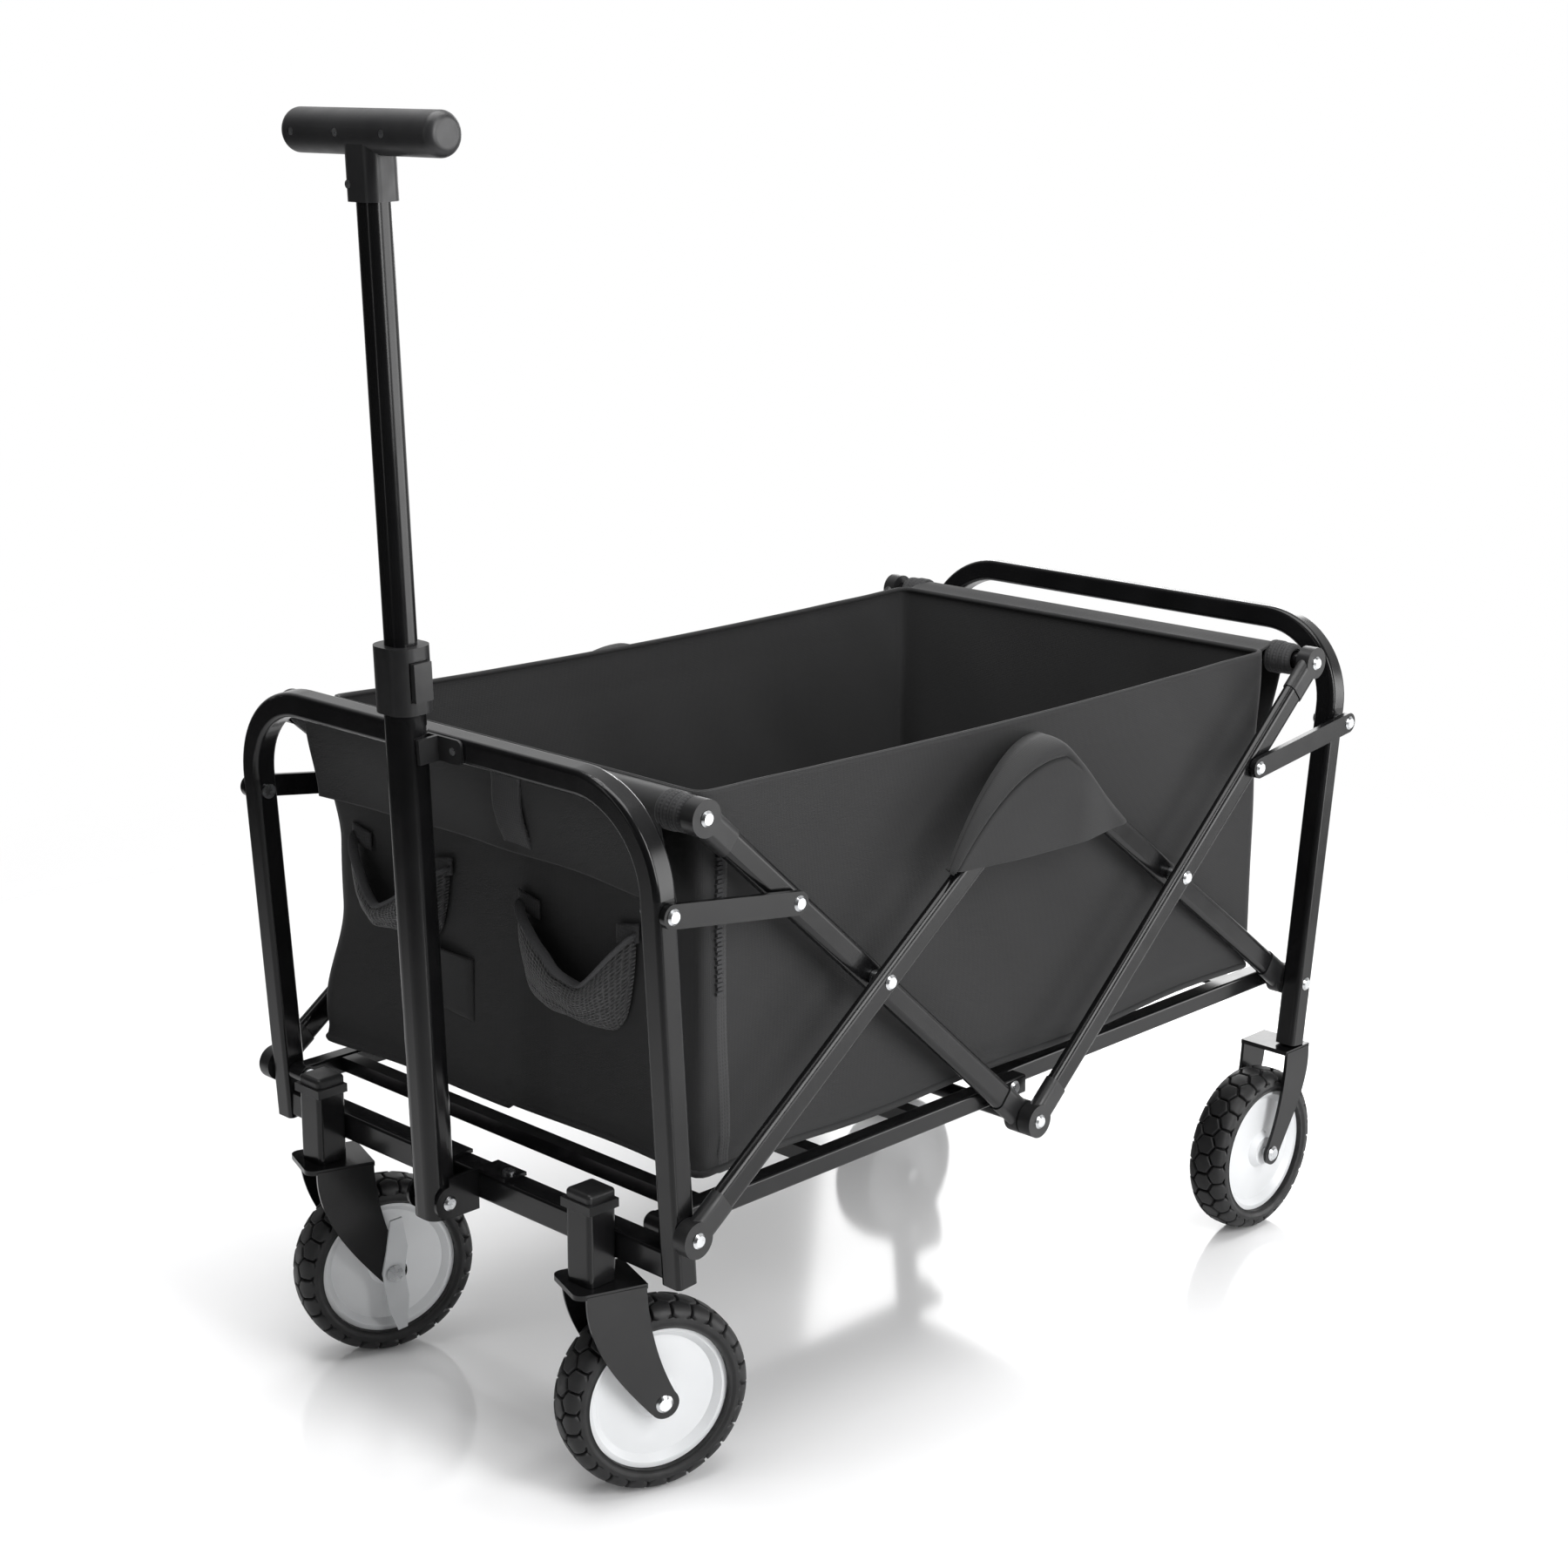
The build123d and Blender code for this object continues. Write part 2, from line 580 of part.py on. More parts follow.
with BuildPart() as handle_clip:
    with BuildSketch(clip_plane(LEG / 2 + SLIP)):
        with Locations((10, 0)):
            RectangleRounded(70, 19, 5)
    extrude(amount=2.2)
    with BuildSketch(clip_plane(LEG / 2 + SLIP)):
        for side in (1, -1):
            with Locations((side * (ear_y + 1.9), 0)):
                Rectangle(3.4, 19)
    extrude(amount=20)
    with BuildSketch(clip_plane(LEG / 2 + SLIP)):
        with Locations((35, 0)):
            Circle(3.1)
    extrude(amount=4, mode=Mode.SUBTRACT)
save(handle_clip.part, "handle_clip")

with BuildPart() as clip_screw:
    with BuildSketch(clip_plane(LEG / 2 + 2 * SLIP)):
        with Locations((35, 0)):
            Circle(3)
    extrude(amount=2.6)
save(clip_screw.part, "clip_screw")


# ---- Wheels ----
def wheel_profile(points):
    with BuildSketch(Plane.XY) as profile:
        with BuildLine():
            Polyline(*points, close=True)
        make_face()
    revolve(profile.sketch, axis=Axis.Y)


def hub_at(place):
    """Dished disc with a boss and a rim, its axis along Y."""
    half = HUB_W / 2
    boss = [(AXLE_R + RUN, half + 3), (13, half + 3), (17, half - 2.5)]
    ring = boss + [(48, half - 5), (53, half), (RIM_R, half)]
    with BuildPart() as hub:
        wheel_profile(ring + [(r, -y) for r, y in reversed(ring)])
    return hub.part.moved(place)


def tyre_at(place):
    half = TYRE_W / 2
    side = [(RIM_R + RUN, half - 4), (RIM_R + 4, half - 0.5), (WHEEL_R - 7, half), (WHEEL_R - 2, half - 3)]
    side.append((WHEEL_R, half - 8))
    with BuildPart() as tyre:
        wheel_profile(side + [(r, -y) for r, y in reversed(side)])
    return tyre.part.moved(place)


def arm(outline_front, outline_back, axle, y_in, y_out, end_r):
    """Fork arm: two curved edges from the crown, closed round the axle."""
    with BuildSketch(Plane.XZ.offset(-max(y_in, y_out))) as outline:
        with BuildLine():
            front = Spline(*outline_front)
            back = Spline(*outline_back)
            Line(front @ 0, back @ 0)
            Line(front @ 1, back @ 1)
        make_face()
        with Locations(axle):
            Circle(end_r)
            Circle(FIT, mode=Mode.SUBTRACT)
    extrude(outline.sketch, amount=abs(y_out - y_in))


FORK_IN = TYRE_W / 2 + 3.4
FORK_OUT = FORK_IN + ARM_T
CROWN_Z = HOUSING_Z[0] - GAP
LEVER_T = 2.5


def caster_place(side):
    return Location((HOUSING_MID_X, side * HOUSING_Y, 0), (0, 0, CASTER_YAW))


def wheel_place(side):
    return caster_place(side) * Location((-TRAIL, 0, WHEEL_R))


def caster_fork(side):
    with BuildPart() as fork:
        with Locations((0, 0, (CROWN_Z + HOUSING_Z[1]) / 2 - 1)):
            Cylinder(STEM_R, HOUSING_Z[1] - CROWN_Z - 2)
        with Locations((-6, 0, CROWN_Z - 2)):
            Box(57, 2 * FORK_OUT - 1, 4)
        fillet(fork.edges().filter_by(Axis.Z).sort_by(Axis.X)[-2:], 8)
        ahead = [(14, CROWN_Z - 2), (11, 146), (-4, 112), (-TRAIL + 10, WHEEL_R - 7)]
        behind = [(-33.5, CROWN_Z - 2), (-36, 146), (-44, 112), (-TRAIL - 11.5, WHEEL_R + 3)]
        for y_in, y_out in ((FORK_IN, FORK_OUT), (-FORK_OUT, -FORK_IN)):
            arm(ahead, behind, (-TRAIL, WHEEL_R), y_in, y_out, 12)
    return fork.part.moved(caster_place(side))


def axle(side):
    """Axle whose longer end, towards the wagon's middle, also carries the brake lever."""
    near = -side * (FORK_OUT + LEVER_T + 2 * GAP)
    with BuildPart() as bolt:
        headed_pin(0, 0, near, side * (FORK_OUT + GAP), AXLE_R, 7)
    return bolt.part.moved(wheel_place(side))


def brake_lever(side):
    upper = [(6, 20), (2, 46), (-8, 48), (-12, 22), (-9, 0)]
    outline = upper + [(-12, -22), (-10, -50), (-2, -52), (6, -30), (10, 0)]
    y_in = FORK_OUT + GAP
    offset = y_in if side > 0 else -y_in - LEVER_T
    with BuildPart() as lever:
        with BuildSketch(Plane.XZ.offset(offset)):
            with BuildLine():
                Polyline(*outline, close=True)
            make_face()
            Circle(AXLE_R + RUN, mode=Mode.SUBTRACT)
        extrude(amount=LEVER_T)
    return lever.part.moved(wheel_place(side))


def rear_place(side):
    return Location((x_of(-REAR_WHEEL[0]), side * REAR_WHEEL[1], WHEEL_R))


for side, hand in ((1, "left"), (-1, "right")):
    save(caster_fork(side), f"caster_fork_{hand}")
    save(axle(side), f"caster_axle_{hand}")
    save(brake_lever(side), f"brake_lever_{hand}")
    save(hub_at(wheel_place(side)), f"front_hub_{hand}")
    save(tyre_at(wheel_place(side)), f"front_tyre_{hand}")
    save(hub_at(rear_place(side)), f"rear_hub_{hand}")
    save(tyre_at(rear_place(side)), f"rear_tyre_{hand}")

foot_x = leg_x(-1, REAR_FOOT_Z)
rear_axle = (x_of(-REAR_WHEEL[0]), WHEEL_R)
with BuildPart() as rear_forks:
    crown = REAR_FOOT_Z - LEAN_REAR * LEG / 2 - SLIP
    with Locations((foot_x + 2, REAR_WHEEL[1], crown - 2)):
        Box(37, 2 * FORK_OUT - 1, 4)
    hub_x = rear_axle[0]
    ahead = [(foot_x + 19, crown - 2), (foot_x + 22, 140), (hub_x - 3, 104), (hub_x + 9, WHEEL_R + 4)]
    behind = [(foot_x - 15, crown - 2), (foot_x - 13, 140), (hub_x - 30, 104), (hub_x - 7, WHEEL_R - 7)]
    for sign in (1, -1):
        y_a, y_b = sorted((REAR_WHEEL[1] + sign * FORK_IN, REAR_WHEEL[1] + sign * FORK_OUT))
        arm(ahead, behind, rear_axle, y_a, y_b, 10.5)
    mirror(about=Plane.XZ)
save(rear_forks.part, "rear_forks")

with BuildPart() as rear_axles:
    reach = FORK_OUT + GAP
    headed_pin(*rear_axle, REAR_WHEEL[1] - reach, REAR_WHEEL[1] + reach, AXLE_R, 7)
    mirror(about=Plane.XZ)
save(rear_axles.part, "rear_axles")

# ---- Basket: an open box of cloth with a sleeve round each top rod ----
back_x, front_x = x_of(BASKET_X[0]), x_of(BASKET_X[1])
basket_mid = Vector((back_x + front_x) / 2, 0, (BASKET_Z[0] + BASKET_Z[1]) / 2)
basket_x, basket_z = front_x - back_x, BASKET_Z[1] - BASKET_Z[0]
with BuildPart() as basket:
    with Locations(basket_mid):
        Box(basket_x, 2 * BASKET_Y, basket_z)
    with Locations(basket_mid + Vector(0, 0, CLOTH)):
        Box(basket_x - 2 * CLOTH, 2 * (BASKET_Y - CLOTH), basket_z, mode=Mode.SUBTRACT)
    for end, wall in ((1, front_x), (-1, back_x)):
        rod_x = x_of(end * TOP_ROD[0])
        pin(rod_x, TOP_ROD[1], -SLEEVE_HALF, SLEEVE_HALF, SLEEVE_R)
        with Locations(((wall + rod_x) / 2, 0, TOP_ROD[1])):
            Box(abs(rod_x - wall), 2 * SLEEVE_HALF, 8)
        pin(rod_x, TOP_ROD[1], -BASKET_Y, BASKET_Y, ROD_R + 2 * GAP, Mode.SUBTRACT)
save(basket.part, "basket")
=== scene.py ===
import json
import bpy
import numpy as np
from math import cos, pi, radians, sin
from mathutils import Matrix, Vector


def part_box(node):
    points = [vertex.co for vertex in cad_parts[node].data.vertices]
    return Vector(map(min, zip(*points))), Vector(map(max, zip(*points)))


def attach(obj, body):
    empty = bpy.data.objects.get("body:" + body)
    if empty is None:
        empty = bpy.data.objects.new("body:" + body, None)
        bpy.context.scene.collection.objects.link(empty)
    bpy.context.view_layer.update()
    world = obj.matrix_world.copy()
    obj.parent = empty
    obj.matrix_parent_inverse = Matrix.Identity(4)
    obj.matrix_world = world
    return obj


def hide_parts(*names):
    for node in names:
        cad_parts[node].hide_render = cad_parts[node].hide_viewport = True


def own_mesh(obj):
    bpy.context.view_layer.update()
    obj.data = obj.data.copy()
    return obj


# a folding wagon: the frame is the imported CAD, and this script adds its finishes, its cloth and its tyres
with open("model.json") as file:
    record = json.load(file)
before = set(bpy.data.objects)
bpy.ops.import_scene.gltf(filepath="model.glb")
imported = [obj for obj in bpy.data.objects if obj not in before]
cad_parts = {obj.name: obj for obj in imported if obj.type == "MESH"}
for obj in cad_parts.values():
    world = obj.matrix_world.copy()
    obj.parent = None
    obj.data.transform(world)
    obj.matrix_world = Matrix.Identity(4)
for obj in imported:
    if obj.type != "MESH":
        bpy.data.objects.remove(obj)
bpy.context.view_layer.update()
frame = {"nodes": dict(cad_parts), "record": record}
slotOf = {part["node"]: part["material_slot"] for part in frame["record"]["subparts"]}
bodyOf = {node: body for body, nodes in frame["record"]["behaviour"]["bodies"].items() for node in nodes}
joints = {joint["name"]: joint for joint in frame["record"]["behaviour"]["joints"]}

lookout = {
    "place": (1.61781, 1.54774, 1.03846),  # metres, in front of the wagon's left corner
    "azimuth": 134.09,  # degrees, as are the next two
    "elevation": 14.61,
    "roll": 0.361,
    "lens": 62.256,  # millimetres, on a sensor 36 wide
    "sensor": 36,
    "shift": (-0.00299, -0.00372),
}


# back points from the wagon to the camera, by azimuth and elevation, and roll turns right and up about it
def placeCamera():
    az, el, roll = (radians(lookout[key]) for key in ("azimuth", "elevation", "roll"))
    back = Vector((sin(az) * cos(el), -cos(az) * cos(el), sin(el)))
    right = Vector((cos(az), sin(az), 0))
    up = back.cross(right)
    turnedRight = cos(roll) * right + sin(roll) * up
    turnedUp = cos(roll) * up - sin(roll) * right
    data = bpy.data.cameras.new("lookout")
    data.lens = lookout["lens"]
    data.sensor_width = lookout["sensor"]
    data.shift_x, data.shift_y = lookout["shift"]
    data.clip_start, data.clip_end = 0.05, 60
    camera = bpy.data.objects.new("lookout", data)
    bpy.context.collection.objects.link(camera)
    turn = Matrix((turnedRight, turnedUp, back)).transposed().to_4x4()
    camera.matrix_world = Matrix.Translation(lookout["place"]) @ turn
    bpy.context.scene.camera = camera


studio = {
    "sky": 1.0,  # what the camera sees behind the wagon
    "fill": 0.34,  # what lights matt surfaces from all round
    "mirrored": (0.03, 0.95),  # what glossy surfaces mirror away from the backdrop, and towards it
    "backdrop": (-0.80, -0.45, 0.40),  # its direction
    "backdropEdge": (0.1, 0.9),  # cosines of the angles between which it brightens
    "card": (-0.68, 0.73, 0.03),  # towards a white card that only shows in what is glossy
    "cardEdge": (0.92, 0.98),
    "cardGlow": (0.0, 7.0),
    "floorHalf": 4.0,
    "floorDrop": 0.0006,  # below the tyres
    "floorFade": (0.9, 1.9),  # the floor melts into the sky between these distances
    "floorTones": ((0.9, 0.9, 0.905), (0.93, 0.93, 0.935)),
    "floorRough": 0.10,
    "lamps": [  # name, place, aimed at, size, watts
        ("overhead", (0.2, 0.1, 2.6), (0, 0, 0.3), (2.2, 1.6), 70),
        ("leftStrip", (0.1, 2.7, 1.5), (0, 0, 0.4), (0.9, 2.4), 78),
        ("frontStrip", (2.7, -0.9, 1.2), (0, 0, 0.5), (0.25, 2.2), 5),
        ("backCard", (-2.6, -1.4, 1.5), (0, 0, 0.4), (1.6, 1.6), 34),
    ],
}


# brightness by direction: the cosine of the angle to it, eased between two edges to the two levels
def glowTowards(tree, direction, edge, levels):
    coords = tree.nodes.new("ShaderNodeTexCoord")
    facing = tree.nodes.new("ShaderNodeVectorMath")
    facing.operation = "DOT_PRODUCT"
    facing.inputs[1].default_value = direction
    glow = tree.nodes.new("ShaderNodeMapRange")
    glow.interpolation_type = "SMOOTHSTEP"
    for socket, value in zip(("From Min", "From Max", "To Min", "To Max"), (*edge, *levels)):
        glow.inputs[socket].default_value = value
    tree.links.new(coords.outputs["Generated"], facing.inputs[0])
    tree.links.new(facing.outputs["Value"], glow.inputs["Value"])
    return glow.outputs[0]


# the camera sees a white sky, matt surfaces get an even fill, and glossy ones mirror a backdrop and a card
def lightStudio():
    world = bpy.data.worlds.new("studio")
    bpy.context.scene.world = world
    world.use_nodes = True
    tree = world.node_tree
    tree.nodes.clear()
    seen, fill, mirrored = (tree.nodes.new("ShaderNodeBackground") for _ in range(3))
    for background in (seen, fill, mirrored):
        background.inputs["Color"].default_value = (1, 1, 1, 1)
    seen.inputs["Strength"].default_value = studio["sky"]
    fill.inputs["Strength"].default_value = studio["fill"]
    both = tree.nodes.new("ShaderNodeMath")
    backdrop = glowTowards(tree, studio["backdrop"], studio["backdropEdge"], studio["mirrored"])
    card = glowTowards(tree, studio["card"], studio["cardEdge"], studio["cardGlow"])
    tree.links.new(backdrop, both.inputs[0])
    tree.links.new(card, both.inputs[1])
    tree.links.new(both.outputs[0], mirrored.inputs["Strength"])
    path = tree.nodes.new("ShaderNodeLightPath")
    unseen = tree.nodes.new("ShaderNodeMixShader")
    mix = tree.nodes.new("ShaderNodeMixShader")
    out = tree.nodes.new("ShaderNodeOutputWorld")
    tree.links.new(path.outputs["Is Glossy Ray"], unseen.inputs["Fac"])
    tree.links.new(fill.outputs[0], unseen.inputs[1])
    tree.links.new(mirrored.outputs[0], unseen.inputs[2])
    tree.links.new(path.outputs["Is Camera Ray"], mix.inputs["Fac"])
    tree.links.new(unseen.outputs[0], mix.inputs[1])
    tree.links.new(seen.outputs[0], mix.inputs[2])
    tree.links.new(mix.outputs[0], out.inputs[0])
    for name, place, target, size, watts in studio["lamps"]:
        data = bpy.data.lights.new(name, "AREA")
        data.shape = "RECTANGLE"
        data.size, data.size_y = size
        data.energy = watts
        lamp = bpy.data.objects.new(name, data)
        lamp.location = place
        lamp.rotation_euler = (Vector(target) - Vector(place)).to_track_quat("-Z", "Y").to_euler()
        bpy.context.collection.objects.link(lamp)
    bpy.context.scene.view_settings.view_transform = "Standard"


# a Principled material; further sockets come as keywords with their spaces written as underscores
def newMaterial(name, colour, rough, **sockets):
    material = bpy.data.materials.new(name)
    material.use_nodes = True
    shader = material.node_tree.nodes["Principled BSDF"]
    shader.inputs["Base Color"].default_value = (*colour, 1)
    shader.inputs["Roughness"].default_value = rough
    for socket, value in sockets.items():
        shader.inputs[socket.replace("_", " ")].default_value = value
    return material, shader


# noise on Object coordinates
def addNoise(tree, scale, detail=3.0):
    coords = tree.nodes.new("ShaderNodeTexCoord")
    noise = tree.nodes.new("ShaderNodeTexNoise")
    noise.inputs["Scale"].default_value = scale
    noise.inputs["Detail"].default_value = detail
    tree.links.new(coords.outputs["Object"], noise.inputs["Vector"])
    return noise.outputs["Fac"]


# the middle of a noise's range spread out from low to high
def spread(tree, value, low, high):
    ramp = tree.nodes.new("ShaderNodeMapRange")
    ramp.inputs["From Min"].default_value = 0.3
    ramp.inputs["From Max"].default_value = 0.7
    ramp.inputs["To Min"].default_value = low
    ramp.inputs["To Max"].default_value = high
    tree.links.new(value, ramp.inputs["Value"])
    return ramp.outputs[0]


# base colour between two tones
def tint(tree, shader, value, dark, light):
    mix = tree.nodes.new("ShaderNodeMix")
    mix.data_type = "RGBA"
    mix.inputs["A"].default_value = (*dark, 1)
    mix.inputs["B"].default_value = (*light, 1)
    tree.links.new(value, mix.inputs["Factor"])
    tree.links.new(mix.outputs["Result"], shader.inputs["Base Color"])


# bump from a height
def raised(tree, shader, height, strength, distance):
    bump = tree.nodes.new("ShaderNodeBump")
    bump.inputs["Strength"].default_value = strength
    bump.inputs["Distance"].default_value = distance
    tree.links.new(height, bump.inputs["Height"])
    tree.links.new(bump.outputs[0], shader.inputs["Normal"])


grain = {
    "middle": 3.1,  # how much finer the noise of the roughness is than that of the tones
    "rough": (0.85, 1.18),  # the roughness's range, as shares of its middle value
    "bump": 0.0004,  # metres
}


# two tones by a wide noise, roughness by a middle one, and bump by a fine one
def grained(name, dark, light, rough, scale, bumpScale, bump, **sockets):
    material, shader = newMaterial(name, light, rough, **sockets)
    tree = material.node_tree
    tint(tree, shader, spread(tree, addNoise(tree, scale), 0, 1), dark, light)
    middle = addNoise(tree, scale * grain["middle"])
    low, high = (rough * share for share in grain["rough"])
    tree.links.new(spread(tree, middle, low, high), shader.inputs["Roughness"])
    raised(tree, shader, addNoise(tree, bumpScale, 2.0), bump, grain["bump"])
    return material


weave = {
    "rough": (0.62, 0.8),
    "gloss": {"Specular_IOR_Level": 0.16, "Sheen_Weight": 0.06, "Sheen_Roughness": 0.5},
    "unevenness": 0.35,  # of the ribs
    "patches": 5.0,  # scale of the worn patches
    "patchTone": (0.1, 0.65),
    "ribTone": 0.35,
    "bump": 0.0003,
}


# woven cloth: two sets of ribs from sine waves, one across the other, with worn patches from a noise
def wovenFinish(name, colour, light, across, along, depth):
    material, shader = newMaterial(name, colour, 0.72, **weave["gloss"])
    tree = material.node_tree
    coords = tree.nodes.new("ShaderNodeTexCoord")
    ribs = []
    for direction, scale in (("X", across), ("Y", along)):
        wave = tree.nodes.new("ShaderNodeTexWave")
        wave.bands_direction = direction
        wave.inputs["Scale"].default_value = scale
        wave.inputs["Distortion"].default_value = weave["unevenness"]
        wave.inputs["Detail"].default_value = 1.0
        tree.links.new(coords.outputs["UV"], wave.inputs["Vector"])
        ribs.append(wave.outputs["Fac"])
    height = tree.nodes.new("ShaderNodeMath")
    height.operation = "MAXIMUM"
    tree.links.new(ribs[0], height.inputs[0])
    tree.links.new(ribs[1], height.inputs[1])
    patch = addNoise(tree, weave["patches"], 4.0)
    tone = tree.nodes.new("ShaderNodeMath")
    tone.operation = "MULTIPLY_ADD"
    tone.inputs[1].default_value = weave["ribTone"]
    tree.links.new(height.outputs[0], tone.inputs[0])
    tree.links.new(spread(tree, patch, *weave["patchTone"]), tone.inputs[2])
    tint(tree, shader, tone.outputs[0], colour, light)
    tree.links.new(spread(tree, patch, *weave["rough"]), shader.inputs["Roughness"])
    raised(tree, shader, height.outputs[0], depth, weave["bump"])
    return material


netting = {"cells": 260, "unevenness": 0.25, "hole": (0.2, 0.5), "bump": 0.0012}


# knitted net: round holes at the points of a cell pattern, painted near black inside as painted shade for the
# shaded pocket behind the net, and light on the threads
def netFinish(name, hole, thread):
    material, shader = newMaterial(name, thread, 0.6, Sheen_Weight=0.15)
    tree = material.node_tree
    coords = tree.nodes.new("ShaderNodeTexCoord")
    cells = tree.nodes.new("ShaderNodeTexVoronoi")
    cells.inputs["Scale"].default_value = netting["cells"]
    cells.inputs["Randomness"].default_value = netting["unevenness"]
    tree.links.new(coords.outputs["UV"], cells.inputs["Vector"])
    ramp = tree.nodes.new("ShaderNodeMapRange")
    ramp.inputs["From Min"].default_value, ramp.inputs["From Max"].default_value = netting["hole"]
    tree.links.new(cells.outputs["Distance"], ramp.inputs["Value"])
    # painted shade: the holes take a near-black tone that stands for the shade seen through them, and the
    # threads keep their own tone
    tint(tree, shader, ramp.outputs[0], hole, thread)
    raised(tree, shader, ramp.outputs[0], 0.9, netting["bump"])
    return material


# dark tone, light tone, roughness, scale of the tones, scale and strength of the bump
finishes = {
    "black_steel": grained(
        "satinSteel", (0.003, 0.003, 0.0032), (0.006, 0.006, 0.0064), 0.22, 14, 500, 0.01,
        Specular_IOR_Level=0.2, Coat_Weight=0.12, Coat_Roughness=0.12),
    "dark_plastic": grained(
        "mouldedPlastic", (0.008, 0.008, 0.0085), (0.014, 0.014, 0.0145), 0.38, 20, 1500, 0.08,
        Specular_IOR_Level=0.3),
    "grip_plastic": grained(
        "gripPlastic", (0.014, 0.014, 0.015), (0.024, 0.024, 0.025), 0.38, 18, 1800, 0.08,
        Specular_IOR_Level=0.35),
    "rivet_steel": grained(
        "zincSteel", (0.42, 0.43, 0.44), (0.62, 0.63, 0.64), 0.28, 60, 700, 0.08, Metallic=1.0),
    "hub_plastic": grained("hubPlastic", (0.60, 0.61, 0.62), (0.70, 0.71, 0.72), 0.34, 9, 900, 0.03),
    "lever_plastic": grained("leverPlastic", (0.4, 0.41, 0.42), (0.5, 0.51, 0.52), 0.35, 12, 900, 0.05),
    "tyre_rubber": grained(
        "tyreRubber", (0.007, 0.007, 0.0072), (0.013, 0.013, 0.0135), 0.5, 30, 1300, 0.12,
        Specular_IOR_Level=0.3),
}
# two tones, ribs across and along, and depth
finishes |= {
    "black_cloth": wovenFinish("wovenCloth", (0.014, 0.014, 0.0144), (0.026, 0.026, 0.0265), 240, 240, 0.3),
    "webbing": wovenFinish("webbing", (0.017, 0.017, 0.018), (0.040, 0.040, 0.041), 160, 130, 0.6),
    "elastic": wovenFinish("elasticTape", (0.03, 0.03, 0.032), (0.055, 0.055, 0.057), 150, 260, 0.5),
    "tape": wovenFinish("cornerTape", (0.022, 0.022, 0.0225), (0.052, 0.052, 0.053), 120, 110, 0.7),
    # the net's first tone, near black, is painted shade in its holes
    "mesh": netFinish("pocketNet", (0.002, 0.002, 0.002), (0.028, 0.028, 0.029)),
}
for node, thing in frame["nodes"].items():
    thing.data.materials.clear()
    thing.data.materials.append(finishes[slotOf[node]])
print("camera, light and finishes are ready")


# quads between neighbouring grid points; a wrapped direction also joins its last line to its first
def gridFaces(rows, columns, wrapRows=False, wrapColumns=False):
    r = np.arange(rows if wrapRows else rows - 1)[:, None]
    c = np.arange(columns if wrapColumns else columns - 1)[None, :]
    nextR, nextC = (r + 1) % rows, (c + 1) % columns
    corners = [r * columns + c, r * columns + nextC, nextR * columns + nextC, nextR * columns + c]
    return np.stack([np.broadcast_to(x, (r.size, c.size)) for x in corners], -1).reshape(-1, 4)


# a mesh object from points and faces; uv has a place for each point, or cornerUv one for each face corner
def makePiece(name, points, faces, finish, uv=None, smooth=True, cornerUv=None):
    mesh = bpy.data.meshes.new(name)
    faces = faces if isinstance(faces, list) else np.asarray(faces).tolist()
    mesh.from_pydata(np.asarray(points, float).reshape(-1, 3).tolist(), [], faces)
    mesh.materials.append(finish)
    if cornerUv is not None:
        mesh.uv_layers.new(name="weave").data.foreach_set("uv", np.asarray(cornerUv, float).ravel())
    if uv is not None:
        layer = mesh.uv_layers.new(name="weave")
        loops = np.empty(len(mesh.loops), int)
        mesh.loops.foreach_get("vertex_index", loops)
        layer.data.foreach_set("uv", np.asarray(uv, float).reshape(-1, 2)[loops].ravel())
    mesh.polygons.foreach_set("use_smooth", [smooth] * len(mesh.polygons))
    mesh.update()
    piece = bpy.data.objects.new(name, mesh)
    bpy.context.collection.objects.link(piece)
    return piece


# a piece from a grid of points, rows by columns
def gridPiece(name, points, finish, uv=None, wrapColumns=False, flip=False):
    faces = gridFaces(*points.shape[:2], wrapColumns=wrapColumns)
    return makePiece(name, points, faces[:, ::-1] if flip else faces, finish, uv)


# 0 to 1 as t goes from 0 to 1, level at both ends: three t squared less two t cubed
def smoothStep(t):
    t = np.clip(t, 0, 1)
    return t * t * (3 - 2 * t)


# a round bump of height 1 about centre: e to the minus (distance / width) squared
def near(value, centre, width):
    return np.exp(-((value - centre) / width) ** 2)


# 0 to 1 as reach goes from 0 to 1, nearly straight but rounded at 0: the root of reach squared plus bend
def hyperbola(reach, bend):
    return (np.sqrt(reach ** 2 + bend) - bend ** 0.5) / ((1 + bend) ** 0.5 - bend ** 0.5)


# a flat square whose opacity falls with the distance from the wagon
def makeFloor():
    finish = grained("floorPaint", *studio["floorTones"], studio["floorRough"], 0.8, 300, 0.004)
    tree = finish.node_tree
    shader = tree.nodes["Principled BSDF"]
    coords = tree.nodes.new("ShaderNodeTexCoord")
    distance = tree.nodes.new("ShaderNodeVectorMath")
    distance.operation = "LENGTH"
    tree.links.new(coords.outputs["Object"], distance.inputs[0])
    fade = tree.nodes.new("ShaderNodeMapRange")
    fade.interpolation_type = "SMOOTHSTEP"
    for socket, value in zip(("From Min", "From Max", "To Min", "To Max"), (*studio["floorFade"], 1, 0)):
        fade.inputs[socket].default_value = value
    tree.links.new(distance.outputs["Value"], fade.inputs["Value"])
    tree.links.new(fade.outputs[0], shader.inputs["Alpha"])
    reach = np.linspace(-studio["floorHalf"], studio["floorHalf"], 15)
    x, y = np.meshgrid(reach, reach)
    floor = gridPiece("floor", np.stack([x, y, 0 * x - studio["floorDrop"]], -1), finish)


